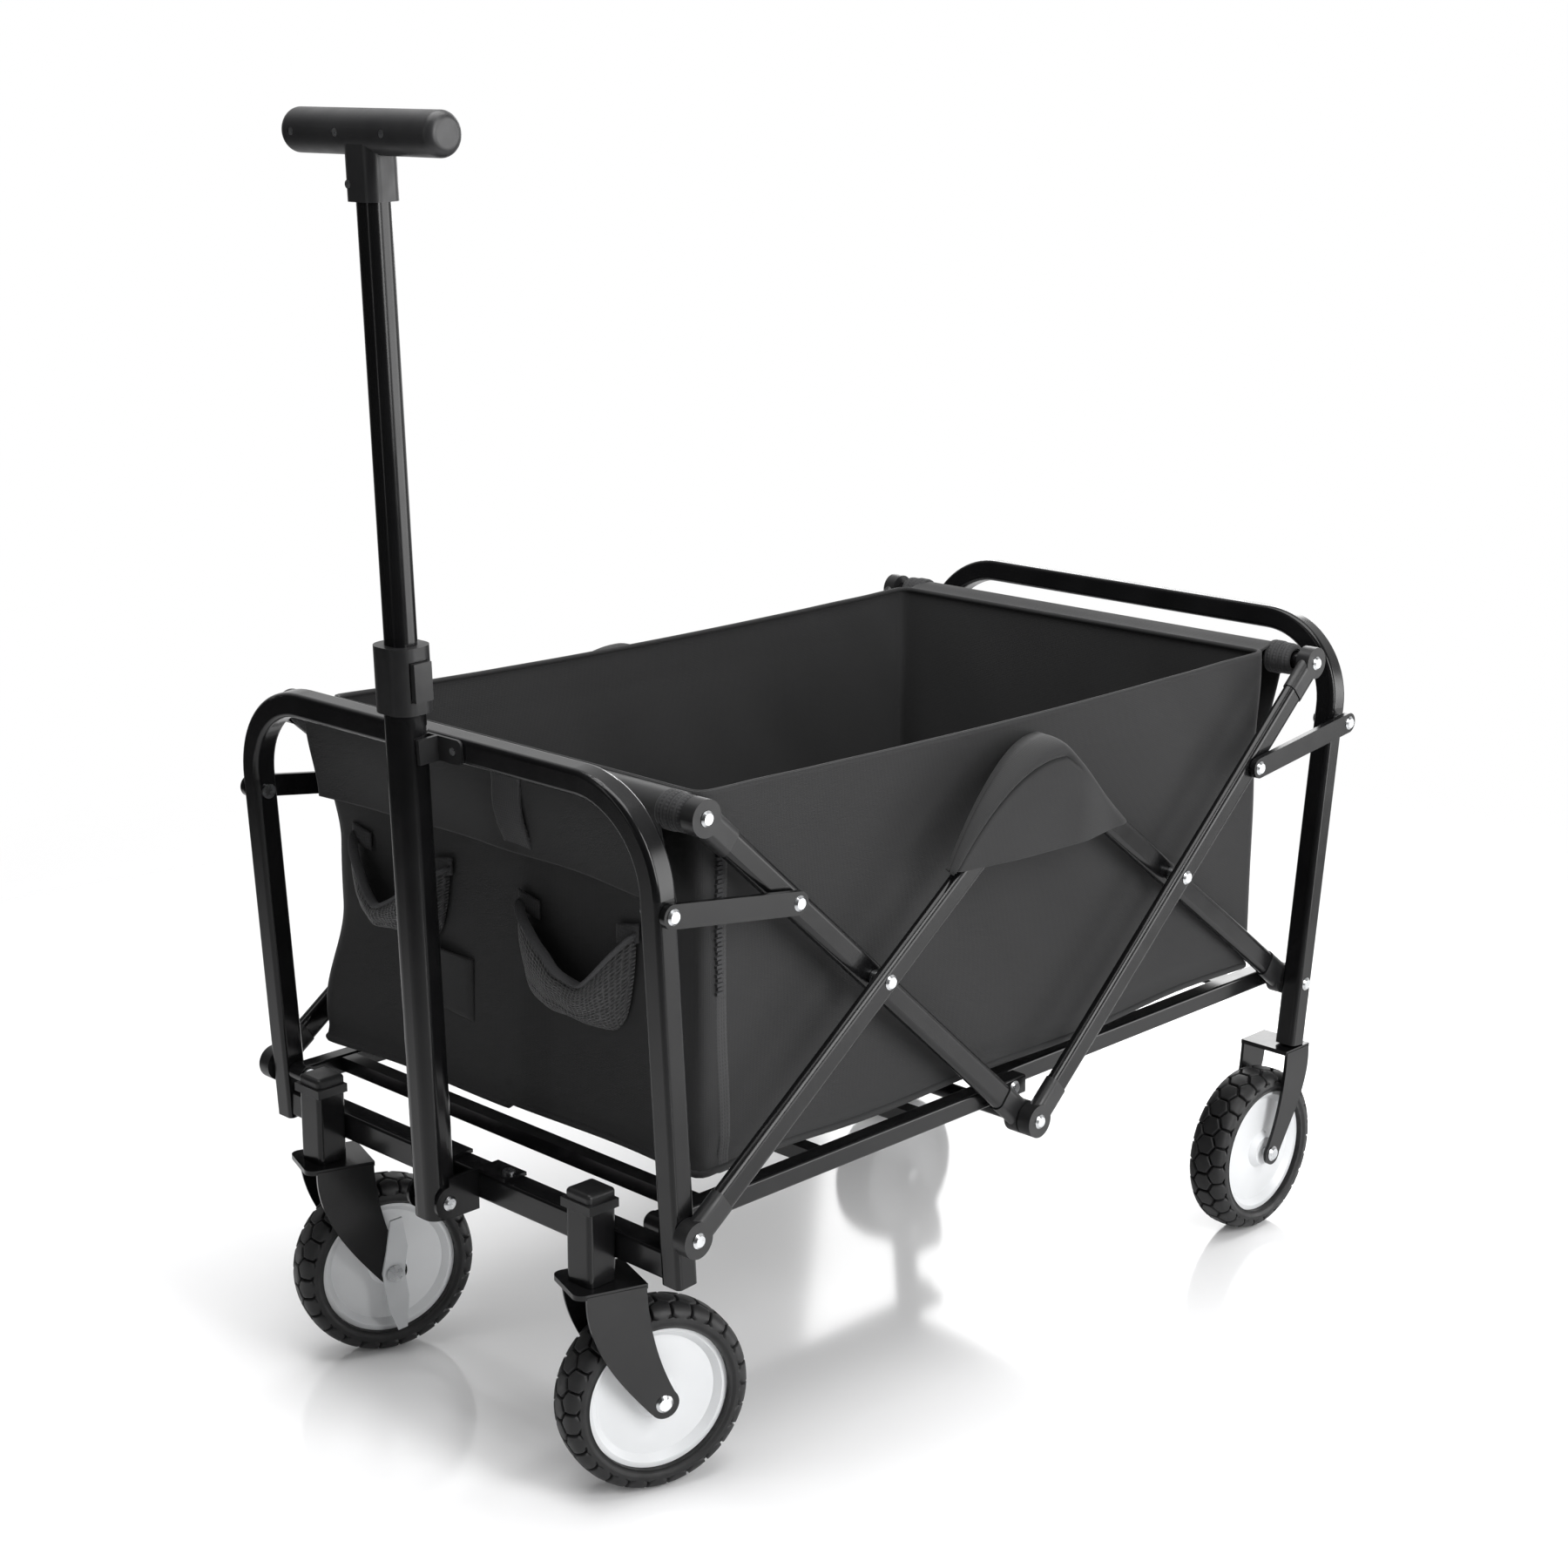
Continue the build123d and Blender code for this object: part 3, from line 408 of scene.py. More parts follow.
# the basket's outside faces stand this far from the clear space inside it, which the record gives
cargo = [o for o in frame["record"]["physics"]["openings"] if o["name"] == "basket_cargo_space"][0]["box_m"]
basket = {
    "back": cargo[0][0] - 0.011,
    "front": cargo[1][0] + 0.011,
    "half": cargo[1][1] + 0.011,
    "floor": cargo[0][2] - 0.009,
    "top": cargo[1][2] - 0.012,
    "corner": 0.010,  # radius of the upright corners
    "cloth": 0.0016,
    "rimDip": 0.005,  # the long rims sag this much midway
    "bow": 0.005,  # the walls lean in and out by this much
    "endBow": 0.003,  # and the end walls lean in by this much
    "ripple": 0.0008,  # slow waves all over
    "pull": 0.0011,  # slanting folds that fan out from the upper corners
    "hemPinch": 0.002,  # the hem draws the cloth in just above it
    "hemDroop": 0.007,
    "flare": 0.012,  # the right front corner stands out by this much at the hem
    "foldAnchor": 0.3735,  # two lengths along the wagon, this and the next, in metres
    "foldKeep": 0.32,
    "wallGrid": (560, 84),
    "wallFlat": (2.217, 0.292),
    "floorCloth": 0.0022,
    "floorGrid": (240, 40),  # points round, and rings from the hem to the middle
    "floorSag": 0.004,
    "floorWave": (0.003, 0.19),  # it hangs between the cross members: height and length of a wave
    "floorFlat": (0.695, 0.427),
    "pipingRadius": 0.0032,
    "rimRadius": 0.0022,
    "rimInside": (0.0008, 0.0015),  # the binding's middle lies this far in and down from the rim
}
basketHeight = basket["top"] - basket["floor"]
basketLength = basket["front"] - basket["back"]
basketMiddle = (basket["front"] + basket["back"]) / 2
rodFront = sum(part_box("front_top_rod"), Vector()) / 2
rodBack = sum(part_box("rear_top_rod"), Vector()) / 2


# cloth rides on the basket's body, on a mesh of its own
def gathers(piece):
    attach(piece, bodyOf["basket"])
    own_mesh(piece)


# point, outward direction and whole length at the share s of the way round a rectangle with round corners
def ringAt(s):
    halfX, halfY, r = basketLength / 2, basket["half"], basket["corner"]
    straightX, straightY, arc = 2 * (halfX - r), 2 * (halfY - r), pi * r / 2
    total = 2 * (straightX + straightY) + 4 * arc
    d = np.mod(np.asarray(s, float), 1) * total
    x, y, nx, ny = (np.zeros_like(d) for _ in range(4))
    start = 0.0
    legs = [  # straight start, heading, length: +Y side backwards, back, -Y side forwards, front
        ((halfX - r, halfY), (-1, 0), straightX), ((-halfX, halfY - r), (0, -1), straightY),
        ((r - halfX, -halfY), (1, 0), straightX), ((halfX, r - halfY), (0, 1), straightY)]
    for (x0, y0), (hx, hy), length in legs:
        on = (d >= start) & (d <= start + length)
        x[on], y[on] = x0 + hx * (d[on] - start), y0 + hy * (d[on] - start)
        nx[on], ny[on] = hy, -hx
        start += length
        bend = (d > start) & (d < start + arc)
        angle = (d[bend] - start) / r
        cx, cy = x0 + hx * length - hy * r, y0 + hy * length + hx * r
        nx[bend] = hy * np.cos(angle) + hx * np.sin(angle)
        ny[bend] = -hx * np.cos(angle) + hy * np.sin(angle)
        x[bend], y[bend] = cx + r * nx[bend], cy + r * ny[bend]
        start += arc
    return x + basketMiddle, y, nx, ny, total


# cloth wall: s round the basket, t from the rim, 0, to the hem, 1; the ring moves out or in along its
# outward direction by a bow, by slow sine waves and by pulls at the corners, its rim dips as a half sine
# between the corners, and its hem droops by two more waves
def wallAt(s, t):
    x, y, nx, ny, total = ringAt(s)
    side = np.abs(ny) > 0.7
    along = np.clip((x - basket["back"]) / basketLength, 0, 1)
    arch = np.sin(pi * along) * side
    rim = basket["top"] - basket["rimDip"] * arch
    # every wave below is a sine over x, y and t, with its wave number in radians for each metre or share
    droop = 0.45 + 0.3 * np.sin(9.0 * x + 1.3 * np.sign(y)) + 0.25 * np.sin(23.0 * x + 17.0 * y + 0.7)
    hem = basket["floor"] + 0.002 - basket["hemDroop"] * droop
    z = rim + (hem - rim) * t
    out = -0.9 * basket["bow"] * arch * np.sin(pi * np.clip((1 - t) * 1.15, 0, 1))
    out += basket["bow"] * 0.5 * side * np.sin(pi * t) * np.sin(2 * pi * along)
    out -= basket["endBow"] * (1 - side) * np.sin(pi * t)
    ripple = np.sin(31.0 * x + 6.0 * y + 4.0 * t) + 0.6 * np.sin(57.0 * x - 43.0 * y + 9.0 * t)
    out += basket["ripple"] * ripple * np.sin(pi * t)
    for cornerX in (basket["back"], basket["front"]):
        reach = np.abs(x - cornerX)
        fan = np.sin(95.0 * (reach * 0.75 + t * basketHeight * 0.55))
        out += basket["pull"] * fan * np.exp(-reach / 0.09) * np.exp(-t / 0.5) * side
    out -= basket["hemPinch"] * near(t, 0.965, 0.03)
    px, py = x + nx * out, y + ny * out
    # the front corners stand out at the hem and under the rim, the right one more, and are slack in between
    stand = smoothStep((t - 0.6) / 0.3) + 0.5 * smoothStep((0.42 - t) / 0.2) * np.clip(t / 0.12, 0, 1) + 0.1
    corner = near(x, basket["front"], 0.06) * near(np.abs(y), basket["half"], 0.06)
    push = basket["flare"] * stand * corner * np.where(y < 0, 1.0, 0.35)
    return px + push, py + np.sign(y) * push, z, total


# a sheet on a grid of shares s and t; at(s, t) gives x, y, z, and the sheet's flat length and height, which
# the weave's map measures; the wrapped map keeps its last column apart from its first
def clothGrid(name, columns, rows, at, finish, wrap=False, flip=False):
    across, down = np.linspace(0, 1, columns + 1 if wrap else columns), np.linspace(0, 1, rows)
    s, t = np.meshgrid(across[:-1] if wrap else across, down)
    x, y, z, length, height = at(s, t)
    faces = gridFaces(rows, columns, wrapColumns=wrap)
    flat = np.stack(np.meshgrid(across * length, down * height), -1)
    uv = np.stack([flat[:-1, :-1], flat[:-1, 1:], flat[1:, 1:], flat[1:, :-1]], 2).reshape(-1, 4, 2)
    if flip:
        faces, uv = faces[:, ::-1], uv[:, ::-1]
    return makePiece(name, np.stack([x, y, z], -1), faces, finish, cornerUv=uv)


# walls to a sheet: offset -1 thickens against its outward side, and 1 along it
def thicken(piece, thickness, offset=-1.0):
    wall = piece.modifiers.new("cloth", "SOLIDIFY")
    wall.thickness = thickness
    wall.offset = offset
    wall.use_even_offset = True


# tube along a row of points: each ring is a circle across the path, on the path's side and up directions,
# and flat is its width sideways as a share of its height
def tubeAlong(name, path, radius, finish, sides, closed=False, flat=1.0, upwards=(0, 0, 1.0)):
    ahead = np.roll(path, -1, 0) - np.roll(path, 1, 0) if closed else np.gradient(path, axis=0)
    ahead /= np.linalg.norm(ahead, axis=1)[:, None]
    up = np.tile(np.array(upwards), (len(path), 1))
    aside = np.cross(ahead, up)
    aside /= np.maximum(np.linalg.norm(aside, axis=1), 1e-9)[:, None]
    up = np.cross(aside, ahead)
    a = np.linspace(0, 2 * pi, sides, endpoint=False)
    sideways = np.cos(a)[None, :, None] * aside[:, None] * flat
    points = path[:, None] + radius * (sideways + np.sin(a)[None, :, None] * up[:, None])
    faces = gridFaces(len(path), sides, wrapRows=closed, wrapColumns=True).tolist()
    if not closed:
        faces += [list(range(sides))[::-1], [(len(path) - 1) * sides + k for k in range(sides)]]
    distance = np.concatenate([[0], np.cumsum(np.linalg.norm(np.diff(path, axis=0), axis=1))])
    uv = np.stack(np.broadcast_arrays(distance[:, None], a[None, :] * radius), -1)
    return makePiece(name, points, faces, finish, uv)


def makeWalls():
    def at(s, t):
        x, y, z, total = wallAt(s, t)
        return x, y, z, total, basketHeight

    walls = clothGrid("basketWalls", *basket["wallGrid"], at, finishes["black_cloth"], wrap=True)
    thicken(walls, basket["cloth"])
    gathers(walls)
    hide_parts("basket")


# bottom cloth: the hem's ring shrunk towards the middle, hanging a little between the cross members
def makeFloorPanel():
    around, rings = basket["floorGrid"]
    hemX, hemY, hemZ, _ = wallAt(np.linspace(0, 1, around + 1)[:-1], np.ones(around))
    share = np.linspace(1, 0.004, rings)[:, None]
    x, y = basketMiddle + (hemX - basketMiddle) * share, hemY * share
    waveHeight, waveLength = basket["floorWave"]
    sag = waveHeight * np.cos(2 * pi * (x - basketMiddle) / waveLength) - basket["floorSag"]
    z = hemZ * share ** 6 + (basket["floor"] + sag) * (1 - share ** 6)
    middle = [[basketMiddle, 0, basket["floor"] + waveHeight - basket["floorSag"]]]
    points = np.concatenate([np.stack([x, y, z], -1).reshape(-1, 3), middle])
    faces = gridFaces(rings, around, wrapColumns=True).tolist()
    last, ring = (rings - 1) * around, np.arange(around)
    faces += np.stack([last + ring, last + np.roll(ring, -1), 0 * ring + rings * around], -1).tolist()
    floor = makePiece("basketFloor", points, faces, finishes["black_cloth"], points[:, :2])
    thicken(floor, basket["floorCloth"], 1.0)
    gathers(floor)


# piping round the hem, and a flatter binding that lies just inside the rim
def makeBindings():
    cloth = finishes["black_cloth"]
    shares = np.linspace(0, 1, 421)[:-1]
    x, y, z, _ = wallAt(shares, np.ones(420))
    piping = np.stack([x, y, z], -1)
    gathers(tubeAlong("hemPiping", piping, basket["pipingRadius"], cloth, 10, closed=True))
    nx, ny = ringAt(shares)[2:4]
    x, y, z, _ = wallAt(shares, np.zeros(420))
    inwards, down = basket["rimInside"]
    rim = np.stack([x - inwards * nx, y - inwards * ny, z - down], -1)
    gathers(tubeAlong("rimBinding", rim, basket["rimRadius"], cloth, 12, closed=True, flat=0.8))


# the bands of cloth over the two rods
bands = {
    "half": 0.208,  # along the rod, each way
    "over": 0.0125,  # from the rod's middle to the cloth
    "drop": 0.068,  # how far the band hangs below the rod
    "lift": 0.020,  # its lower edge stands off the wall by this much
    "cloth": 0.0016,
    "top": 0.12,  # shares of the path at which it reaches the rod's top and leaves the rod
    "leave": 0.42,
    "grid": (220, 70),
    "flat": 0.12,  # from the rim over the rod to the free edge
}


# across the band: an eased rise from the wall's rim to the rod's top, a quarter circle round the rod, then
# down to the free edge, drawn back towards the wall
def bandPath(v, end):
    rod = rodFront if end > 0 else rodBack
    wall = basket["front"] if end > 0 else basket["back"]
    over, top, leave = bands["over"], bands["top"], bands["leave"]
    rise = np.clip(v / top, 0, 1)
    startX, startZ = wall - end * 0.001, basket["top"] - 0.001
    angle = pi / 2 * (1 - np.clip((v - top) / (leave - top), 0, 1))
    x = np.where(v < top, startX + (rod.x - startX) * rise, rod.x + end * over * np.cos(angle))
    z = np.where(v < top, startZ + (rod.z + over - startZ) * smoothStep(rise), rod.z + over * np.sin(angle))
    down = np.clip((v - leave) / (1 - leave), 0, 1)
    back = (abs(rod.x - wall) + over - bands["lift"]) * smoothStep(down * 0.93)
    return x - end * back, z - bands["drop"] * down


# the loose half below the rod waves a little, and hangs lower towards the left
def makeBand(name, end):
    def at(s, t):
        y = (2 * s - 1) * bands["half"]
        x, z = bandPath(t, end)
        loose = np.clip((t - 0.5) / 0.5, 0, 1)
        x = x + end * loose * (0.0022 * np.sin(21 * y + 0.6) + 0.0012 * np.sin(49 * y))
        z = z + loose * (0.0015 * np.sin(14 * y + 1.1) - 0.006 * near(y, bands["half"], 0.07))
        return x, y, z, 2 * bands["half"], 0.125

    band = clothGrid(name, *bands["grid"], at, finishes["black_cloth"], flip=end < 0)
    thicken(band, bands["cloth"], 1.0)
    gathers(band)


# ribbed cuffs round the rods, between the bands and the bars, which turn with the rods
cuff = {
    "from": 0.206,
    "to": 0.2295,
    "radius": 0.0118,
    "ribs": 8,
    "rib": 0.0008,
    "outerStep": 0.0006,  # the outer half is narrower by this much
    "mouth": 0.0025,  # and closes round the rod at its end
    "cloth": 0.002,
}


# a circle round the rod, whose radius is a sine wave along it
def makeCuffs():
    for side, hand in ((1, "left"), (-1, "right")):
        for end, rod in (("front", rodFront), ("rear", rodBack)):
            v, a = np.meshgrid(np.linspace(0, 1, 90), np.linspace(0, 2 * pi, 49)[:-1], indexing="ij")
            r = cuff["radius"] + cuff["rib"] * np.sin(2 * pi * cuff["ribs"] * v)
            r = r - cuff["mouth"] * near(v, 1, 0.08) - cuff["outerStep"] * (v >= 0.5)
            y = side * (cuff["from"] + (cuff["to"] - cuff["from"]) * v)
            points = np.stack([rod.x + r * np.cos(a), y, rod.z + r * np.sin(a)], -1)
            uv = np.stack([v * 0.024, a * cuff["radius"]], -1)
            name = f"{end}Cuff_{hand}"
            piece = gridPiece(name, points, finishes["webbing"], uv, wrapColumns=True, flip=side < 0)
            thicken(piece, cuff["cloth"])
            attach(piece, bodyOf[f"{end}_top_rod"])


# webbing strap over the front band: its middle and width across the wagon, and the height of its lower end
strap = {"middle": 0.0425, "width": 0.031, "end": 0.4665, "cloth": 0.0026, "flat": 0.115, "off": 0.0022}


# a copy of the band's path from the rod's top down, pushed out from it and shortened to the strap's end
def makeStrap():
    def at(s, t):
        y = strap["middle"] + (s - 0.5) * strap["width"]
        x, z = bandPath(bands["top"] + t * 0.86, 1)
        low = np.clip((t - 0.45) / 0.55, 0, 1)
        rodTop = rodFront.z + bands["over"]
        z = rodTop - (rodTop - z) * (rodTop - strap["end"]) / (rodTop - (rodFront.z - bands["drop"]))
        x = x + strap["off"] + 0.0045 * np.sin(pi * low) - 0.002 * low
        return x, y, z, strap["width"], 0.12

    piece = clothGrid("strapLoop", 16, 60, at, finishes["webbing"])
    thicken(piece, strap["cloth"], 1.0)
    gathers(piece)


# net pockets on the front wall: y of both ends, height of both upper corners and of the bottom, and where the
# upper edge is lowest, as a share of the width
pockets = {
    "near": {"span": (0.021, 0.148), "corners": (0.422, 0.424), "bottom": 0.344, "low": 0.66},
    "far": {"span": (-0.187, -0.068), "corners": (0.434, 0.430), "bottom": 0.366, "low": 0.4},
}
pocketCloth = {
    "droop": 0.044,  # of the upper edge's low point
    "stand": 0.0012,  # off the wall, everywhere
    "belly": 0.026,  # and at its fullest
    "net": 0.0012,
    "rounding": 0.014,  # the lower corners are higher than the bottom by this much
    "fullness": (1.25, 0.75),  # flat width and height, as shares of the pocket's own
    "elastic": 0.0046,  # half the width of the elastic edge
    "tab": (0.024, 0.015),  # width and height of a corner tab
    "tabCloth": 0.0016,
}


# front of a pocket: the upper edge falls from its two tabs to a low point as a hyperbola, the lower corners
# are rounded by the square of a sine, and the net stands off the wall by the root of a half sine across
def pocketAt(spec, s, t):
    (start, end), (left, right) = spec["span"], spec["corners"]
    away = np.where(s < spec["low"], (spec["low"] - s) / spec["low"], (s - spec["low"]) / (1 - spec["low"]))
    upper = left + (right - left) * s - pocketCloth["droop"] * (1 - hyperbola(away, 0.03))
    rounding = (1 - np.clip(np.sin(pi * s) * 2.2, 0, 1)) ** 2
    lower = spec["bottom"] + pocketCloth["rounding"] * rounding + 0.0012 * np.sin(15 * s)
    y = start + (end - start) * (0.5 + (s - 0.5) * (1 - 0.16 * t ** 2))
    z = upper + (lower - upper) * t
    belly = np.clip(np.sin(pi * s), 0, 1) ** 0.5 * (0.8 + 0.2 * np.sin(pi * np.clip(t * 1.6, 0, 1)))
    close = 1 - np.clip((t - 0.66) / 0.34, 0, 1) ** 2
    pucker = 0.0010 * np.sin(17 * s + 2 * t) * (1 - t) + 0.0007 * np.sin(29 * s + 5 * t)
    x = basket["front"] + pocketCloth["stand"] + (pocketCloth["belly"] + pucker) * belly * close
    return x, y, z


def makePocket(key):
    spec = pockets[key]
    (start, end), (left, right) = spec["span"], spec["corners"]
    across, tall = end - start, left - spec["bottom"]

    def at(s, t):
        return *pocketAt(spec, s, t), across, tall

    net = clothGrid(f"meshPocket_{key}", 110, 56, at, finishes["mesh"])
    thicken(net, pocketCloth["net"], 0.0)
    gathers(net)
    s = np.linspace(0, 1, 90)
    edge = np.stack(pocketAt(spec, s, 0 * s), -1)
    name, radius = f"pocketElastic_{key}", pocketCloth["elastic"]
    gathers(tubeAlong(name, edge, radius, finishes["elastic"], 14, flat=0.42, upwards=(1, 0, 0)))
    # a tab of webbing at each upper corner, sewn down all round, which slants towards the elastic
    wide, high = pocketCloth["tab"]
    v, u = np.meshgrid(np.linspace(0, 1, 9), np.linspace(0, 1, 9), indexing="ij")
    for letter, y0, z0, inward in (("a", start, left, 1), ("b", end, right, -1)):
        tabY = y0 - inward * 0.004 + inward * wide * u
        tabZ = z0 + 0.010 - high * v - 0.005 * u
        tabX = basket["front"] + 0.0018 + 0.0022 * np.sin(pi * u) * np.sin(pi * v)
        points = np.stack([tabX, tabY, tabZ], -1)
        name = f"pocketTab_{key}_{letter}"
        tab = gridPiece(name, points, finishes["webbing"], points[..., 1:], flip=inward < 0)
        thicken(tab, pocketCloth["tabCloth"], 0.0)
        gathers(tab)


# flat pocket beside the handle, sewn down on three sides and gaping a little at the top
flatPocket = {
    "span": (-0.122, -0.042),
    "size": (0.080, 0.052),
    "top": 0.366,
    "slant": 0.006,  # its left end is lower by this much
    "stand": (0.0004, 0.0016),  # off the wall at its sewn edge, and further over the rest
    "gape": 0.004,
    "cloth": 0.0014,
}


def makeFlatPocket():
    (start, end), (wide, high), (low, rest) = (flatPocket[key] for key in ("span", "size", "stand"))

    def at(s, t):
        y = start + (end - start) * s
        z = flatPocket["top"] - flatPocket["slant"] * s - high * t
        edge = np.minimum(np.minimum(s, 1 - s) * 14, 1) * np.minimum((1 - t) * 10 + 0.2, 1)
        x = basket["front"] + low + rest * edge + flatPocket["gape"] * np.sin(pi * s) * (1 - t) ** 2
        return x, y, z, wide, high

    patch = clothGrid("flatPocket", 36, 26, at, finishes["black_cloth"])
    thicken(patch, flatPocket["cloth"], 1.0)
    gathers(patch)


# webbing tapes down the front corners of the long walls, with a row of moulded teeth beside their tops
tape = {
    "span": (0.3045, 0.3185),
    "top": 0.492,
    "stand": 0.0022,  # off the wall along its middle
    "cloth": 0.0012,
    "flat": (0.014, 0.24),
    "teeth": 34,
    "pitch": 0.0034,
    "tooth": (0.0026, 0.0011),  # half its width and half its height
    "longer": 0.001,  # every other tooth is wider by this much, each way
    "toothStand": (0.0012, 0.003024),  # its back off the wall, and its face off its back
}


# outside face of the long wall at x and z, from the wall's own formula
def wallFace(side, x, z):
    straight = basketLength - 2 * basket["corner"]
    d = np.clip(basket["front"] - basket["corner"] - x, 0, straight)
    total = 2 * straight + 4 * (basket["half"] - basket["corner"]) + 2 * pi * basket["corner"]
    halfway = straight + 2 * (basket["half"] - basket["corner"]) + pi * basket["corner"]
    start = 0.0 if side > 0 else halfway / total
    s = start + (d if side > 0 else straight - d) / total
    t = np.clip((basket["top"] - z) / basketHeight, 0, 1)
    return wallAt(s, t)[1]


# a strip that follows the wall's face and thins towards both edges
def makeTape(hand, side):
    def at(s, t):
        x = tape["span"][0] + (tape["span"][1] - tape["span"][0]) * s
        z = tape["top"] + (basket["floor"] - 0.001 - tape["top"]) * t
        y = wallFace(side, x, z) + side * tape["stand"] * np.clip(np.minimum(s, 1 - s) * 8, 0.25, 1)
        return x, y, z, *tape["flat"]

    piece = clothGrid(f"cornerTape_{hand}", 12, 150, at, finishes["tape"], flip=side > 0)
    thicken(piece, tape["cloth"], 1.0)
    gathers(piece)


# boxes in a row: each has its four corners on the wall and the same four again further out
def makeTeeth(hand, side):
    k = np.arange(tape["teeth"])[:, None]
    wide, high = tape["tooth"]
    wide = wide + tape["longer"] * (k % 2)
    acrossSign, upSign = np.array([[-1, 1, 1, -1], [-1, -1, 1, 1]], float)
    x = tape["span"][1] - 0.0035 + acrossSign * wide
    z = tape["top"] + 0.012 - k * tape["pitch"] + upSign * high
    back = wallFace(side, x, z) + side * tape["toothStand"][0]
    face = back + side * tape["toothStand"][1]
    points = np.concatenate([np.stack([x, back, z], -1), np.stack([x, face, z], -1)], 1)
    box = np.array([[0, 1, 2, 3], [7, 6, 5, 4], [0, 4, 5, 1], [1, 5, 6, 2], [2, 6, 7, 3], [3, 7, 4, 0]])
    faces = (k[..., None] * 8 + (box[:, ::-1] if side > 0 else box)).reshape(-1, 4)
    gathers(makePiece(f"cornerTeeth_{hand}", points, faces, finishes["elastic"], smooth=False))


# flaps sewn to the long walls, which cover the upper middle joints
flap = {
    "front": (0.113, 0.450),  # lower corners, x and z
    "back": (-0.1215, 0.4425),
    "peak": (-0.017, 0.5315),
    "ridge": (0.243, 0.261, 0.248),  # y of the upper outline at its peak, front corner and back corner
    "face": (0.2645, 0.254),  # y of the front, clear of the joint's rivet head, and at the back corner
    "turn": 0.0095,  # the cloth turns over from the outline to the front within this height
    "slit": 0.0034,  # depth of the crease inside the ridge
    "hem": 0.012,  # the outline's turned-in edge, which joins the wall near the peak
    "hemShare": 0.14,  # of the grid's rows
    "grid": (200, 110),
    "flat": (0.235, 0.11),
    "area": 0.018,
}


# cover over the left joint: s from the front corner to the back one, t from the turned-in edge over the
# outline, at hemShare, to the straight lower edge; the outline is a parabola in front of the peak and a
# hyperbola behind it
def flapAt(s, t):
    hemShare = flap["hemShare"]
    (frontX, frontZ), (backX, backZ), (peakX, peakZ) = flap["front"], flap["back"], flap["peak"]
    x = frontX + (backX - frontX) * s
    reach = np.where(x > peakX, (x - peakX) / (frontX - peakX), (peakX - x) / (peakX - backX))
    drop = np.where(x > peakX, reach ** 2 * (peakZ - frontZ), hyperbola(reach, 0.004) * (peakZ - backZ))
    lower = frontZ + (backZ - frontZ) * s - 0.003 * np.sin(pi * s)
    upper = np.maximum(peakZ - drop, lower)
    peakY, frontY, backY = flap["ridge"]
    ridge = peakY + np.where(x > peakX, frontY - peakY, backY - peakY) * reach ** 1.3
    down = np.clip((t - hemShare) / (1 - hemShare), 0, 1)
    z = upper + (lower - upper) * down ** 1.5
    below = upper - z
    faceFront, faceBack = flap["face"]
    faceY = faceFront - (faceFront - faceBack) * smoothStep((peakX - 0.022 - x) / 0.07)
    over = np.sqrt(np.clip(1 - (1 - np.clip(below / flap["turn"], 0, 1)) ** 2, 0, 1))
    y = ridge + (faceY - ridge) * over
    # a soft ridge along the front half of the outline with a crease inside it
    along = smoothStep((x - peakX + 0.03) / 0.04)
    slit = flap["slit"] * (1 + 0.7 * smoothStep((x - peakX - 0.02) / 0.03))
    inner = 0.0045 + 0.0085 * np.clip(1 - reach, 0, 1) ** 0.7
    y += along * (0.0022 * near(below, inner * 0.45, inner * 0.4) - slit * near(below, inner, 0.0019))
    y += 0.0012 * np.sin(30 * x + 2.0) * down
    y -= 0.004 * near(x, peakX, 0.05) * smoothStep((down - 0.55) / 0.45)
    under = np.clip(1 - t / hemShare, 0, 1)
    depth = flap["hem"] + (ridge - basket["half"] - flap["hem"]) * near(x, peakX, 0.05)
    return x - 0.9 * depth * under, y - depth * under, z - 0.25 * depth * under


def makeFlap(hand, side):
    def at(s, t):
        x, y, z = flapAt(s, t)
        return x, side * y, z, *flap["flat"]

    piece = clothGrid(f"jointFlap_{hand}", *flap["grid"], at, finishes["black_cloth"], flip=side < 0)
    thicken(piece, basket["cloth"])
    gathers(piece)


# tyres with a block tread
tyre = {
    "radius": 0.0755,
    "bead": 0.0571,  # radius of the inner edge
    "half": 0.0189,  # half the width
    "grid": (760, 92),  # points round the tyre, and across it from bead to bead
    "shoulder": (0.74, 0.5),  # powers of the sine and cosine, less than 1 for a squarer outline
    "treadEdge": 0.0105,  # the grooves fade out this far below the tread
    "line": 0.0004,  # height of the fine ring on each side wall
    "block": 0.0180,  # across the flats of one six-sided block
    "groove": 0.0044,  # depth
    "rib": 0.84,  # share of a block's half width that stays at full height
}


# 1 on a six-sided block and 0 in the groove between blocks: the distance to the nearest block's middle is
# measured across the flats, over two rows of middles that lie between each other
def blockHeight(along, across):
    size = tyre["block"]
    high = size * 3 ** 0.5
    best = np.full(along.shape, 9.0)
    for shiftA, shiftB in ((0, 0), (size / 2, high / 2)):
        a = np.mod(along - shiftA + size / 2, size) - size / 2
        b = np.mod(across - shiftB + high / 2, high) - high / 2
        d = np.maximum(np.abs(a), np.abs(a) * 0.5 + np.abs(b) * 0.866) / (size / 2)
        best = np.minimum(best, d)
    return 1 - smoothStep((best - tyre["rib"]) / (0.98 - tyre["rib"]))


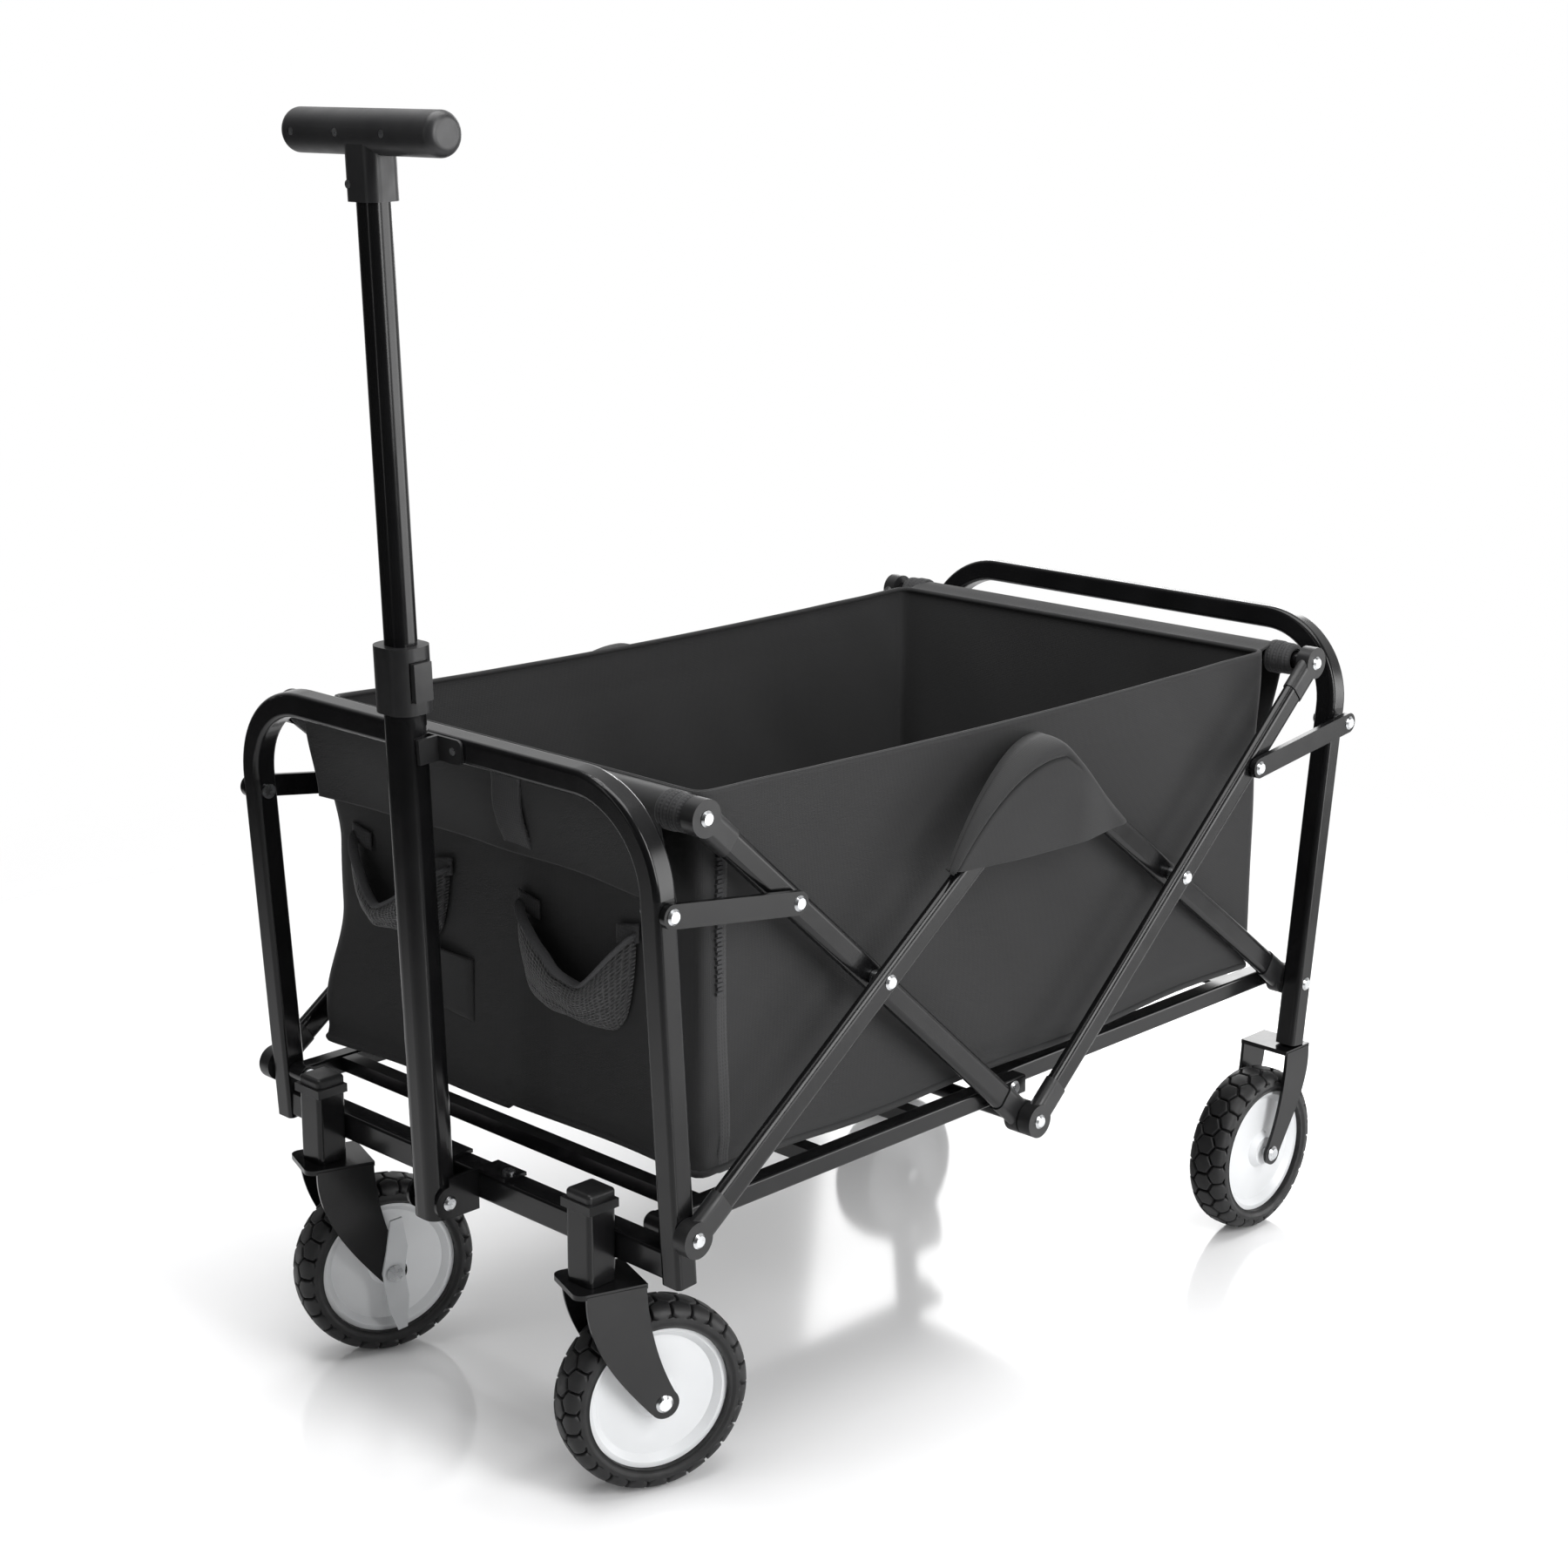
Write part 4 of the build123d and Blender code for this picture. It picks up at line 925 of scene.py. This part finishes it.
# a superellipse from bead to bead, flat across the tread and round at the shoulders, carried round the axle
def makeTyre(end, hand):
    joint, node = joints[f"{end}_wheel_spin_{hand}"], f"{end}_tyre_{hand}"
    axis = Vector(joint["axis"]).normalized()
    (count, steps), (sinePower, cosinePower) = tyre["grid"], tyre["shoulder"]
    half, bead, radius = tyre["half"], tyre["bead"], tyre["radius"]
    v = np.linspace(-1, 1, steps)
    angle = v * pi / 2
    across = half * np.sign(np.sin(angle)) * np.abs(np.sin(angle)) ** sinePower
    across = np.where(np.abs(v) > 0.97, across * 0.93, across)
    height = bead + (radius - bead) * np.abs(np.cos(angle)) ** cosinePower
    theta = np.linspace(0, 2 * pi, count, endpoint=False)
    # a whole number of blocks fits round the tread, and the profile's own length is measured across it
    around = round(2 * pi * radius / tyre["block"]) * tyre["block"]
    length = np.cumsum(np.hypot(np.gradient(across), np.gradient(height)))
    along, wide = np.meshgrid(theta / (2 * pi) * around, length - length.mean(), indexing="ij")
    tread = smoothStep((height - (radius - tyre["treadEdge"])) / 0.0035)
    cut = tyre["groove"] * tread * (1 - blockHeight(along, wide))
    line = tyre["line"] * near(height, bead + 0.004, 0.0008) * (np.abs(across) > half * 0.8)
    r = height - cut * 0.9
    w = across * (1 - cut / half * 0.55) + np.sign(across) * line
    side = axis.orthogonal().normalized()
    other = np.array(axis.cross(side))
    rim = np.cos(theta)[:, None, None] * np.array(side) + np.sin(theta)[:, None, None] * other
    points = np.array(joint["pos_m"]) + r[..., None] * rim + w[..., None] * np.array(axis)
    faces = gridFaces(count, steps, wrapRows=True)[:, ::-1].tolist()
    # an inner wall from bead to bead closes the ring
    first = np.arange(count) * steps
    after = np.roll(first, -1)
    faces += np.stack([first, after, after + steps - 1, first + steps - 1], -1).tolist()
    piece = makePiece(f"{end}Tyre_{hand}", points, faces, finishes["tyre_rubber"])
    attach(piece, f"{end}_wheel_{hand}")
    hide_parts(node)


placeCamera()
lightStudio()
makeFloor()
makeWalls()
makeFloorPanel()
makeBindings()
makeBand("frontBand", 1)
makeBand("rearBand", -1)
makeCuffs()
makeStrap()
for key in pockets:
    makePocket(key)
makeFlatPocket()
for hand, side in (("left", 1), ("right", -1)):
    makeTape(hand, side)
    makeTeeth(hand, side)
for hand, side in (("left", 1), ("right", -1)):
    makeFlap(hand, side)
print("the cloth is hung")
for hand in ("left", "right"):
    for end in ("front", "rear"):
        makeTyre(end, hand)
print("the tyres are on")
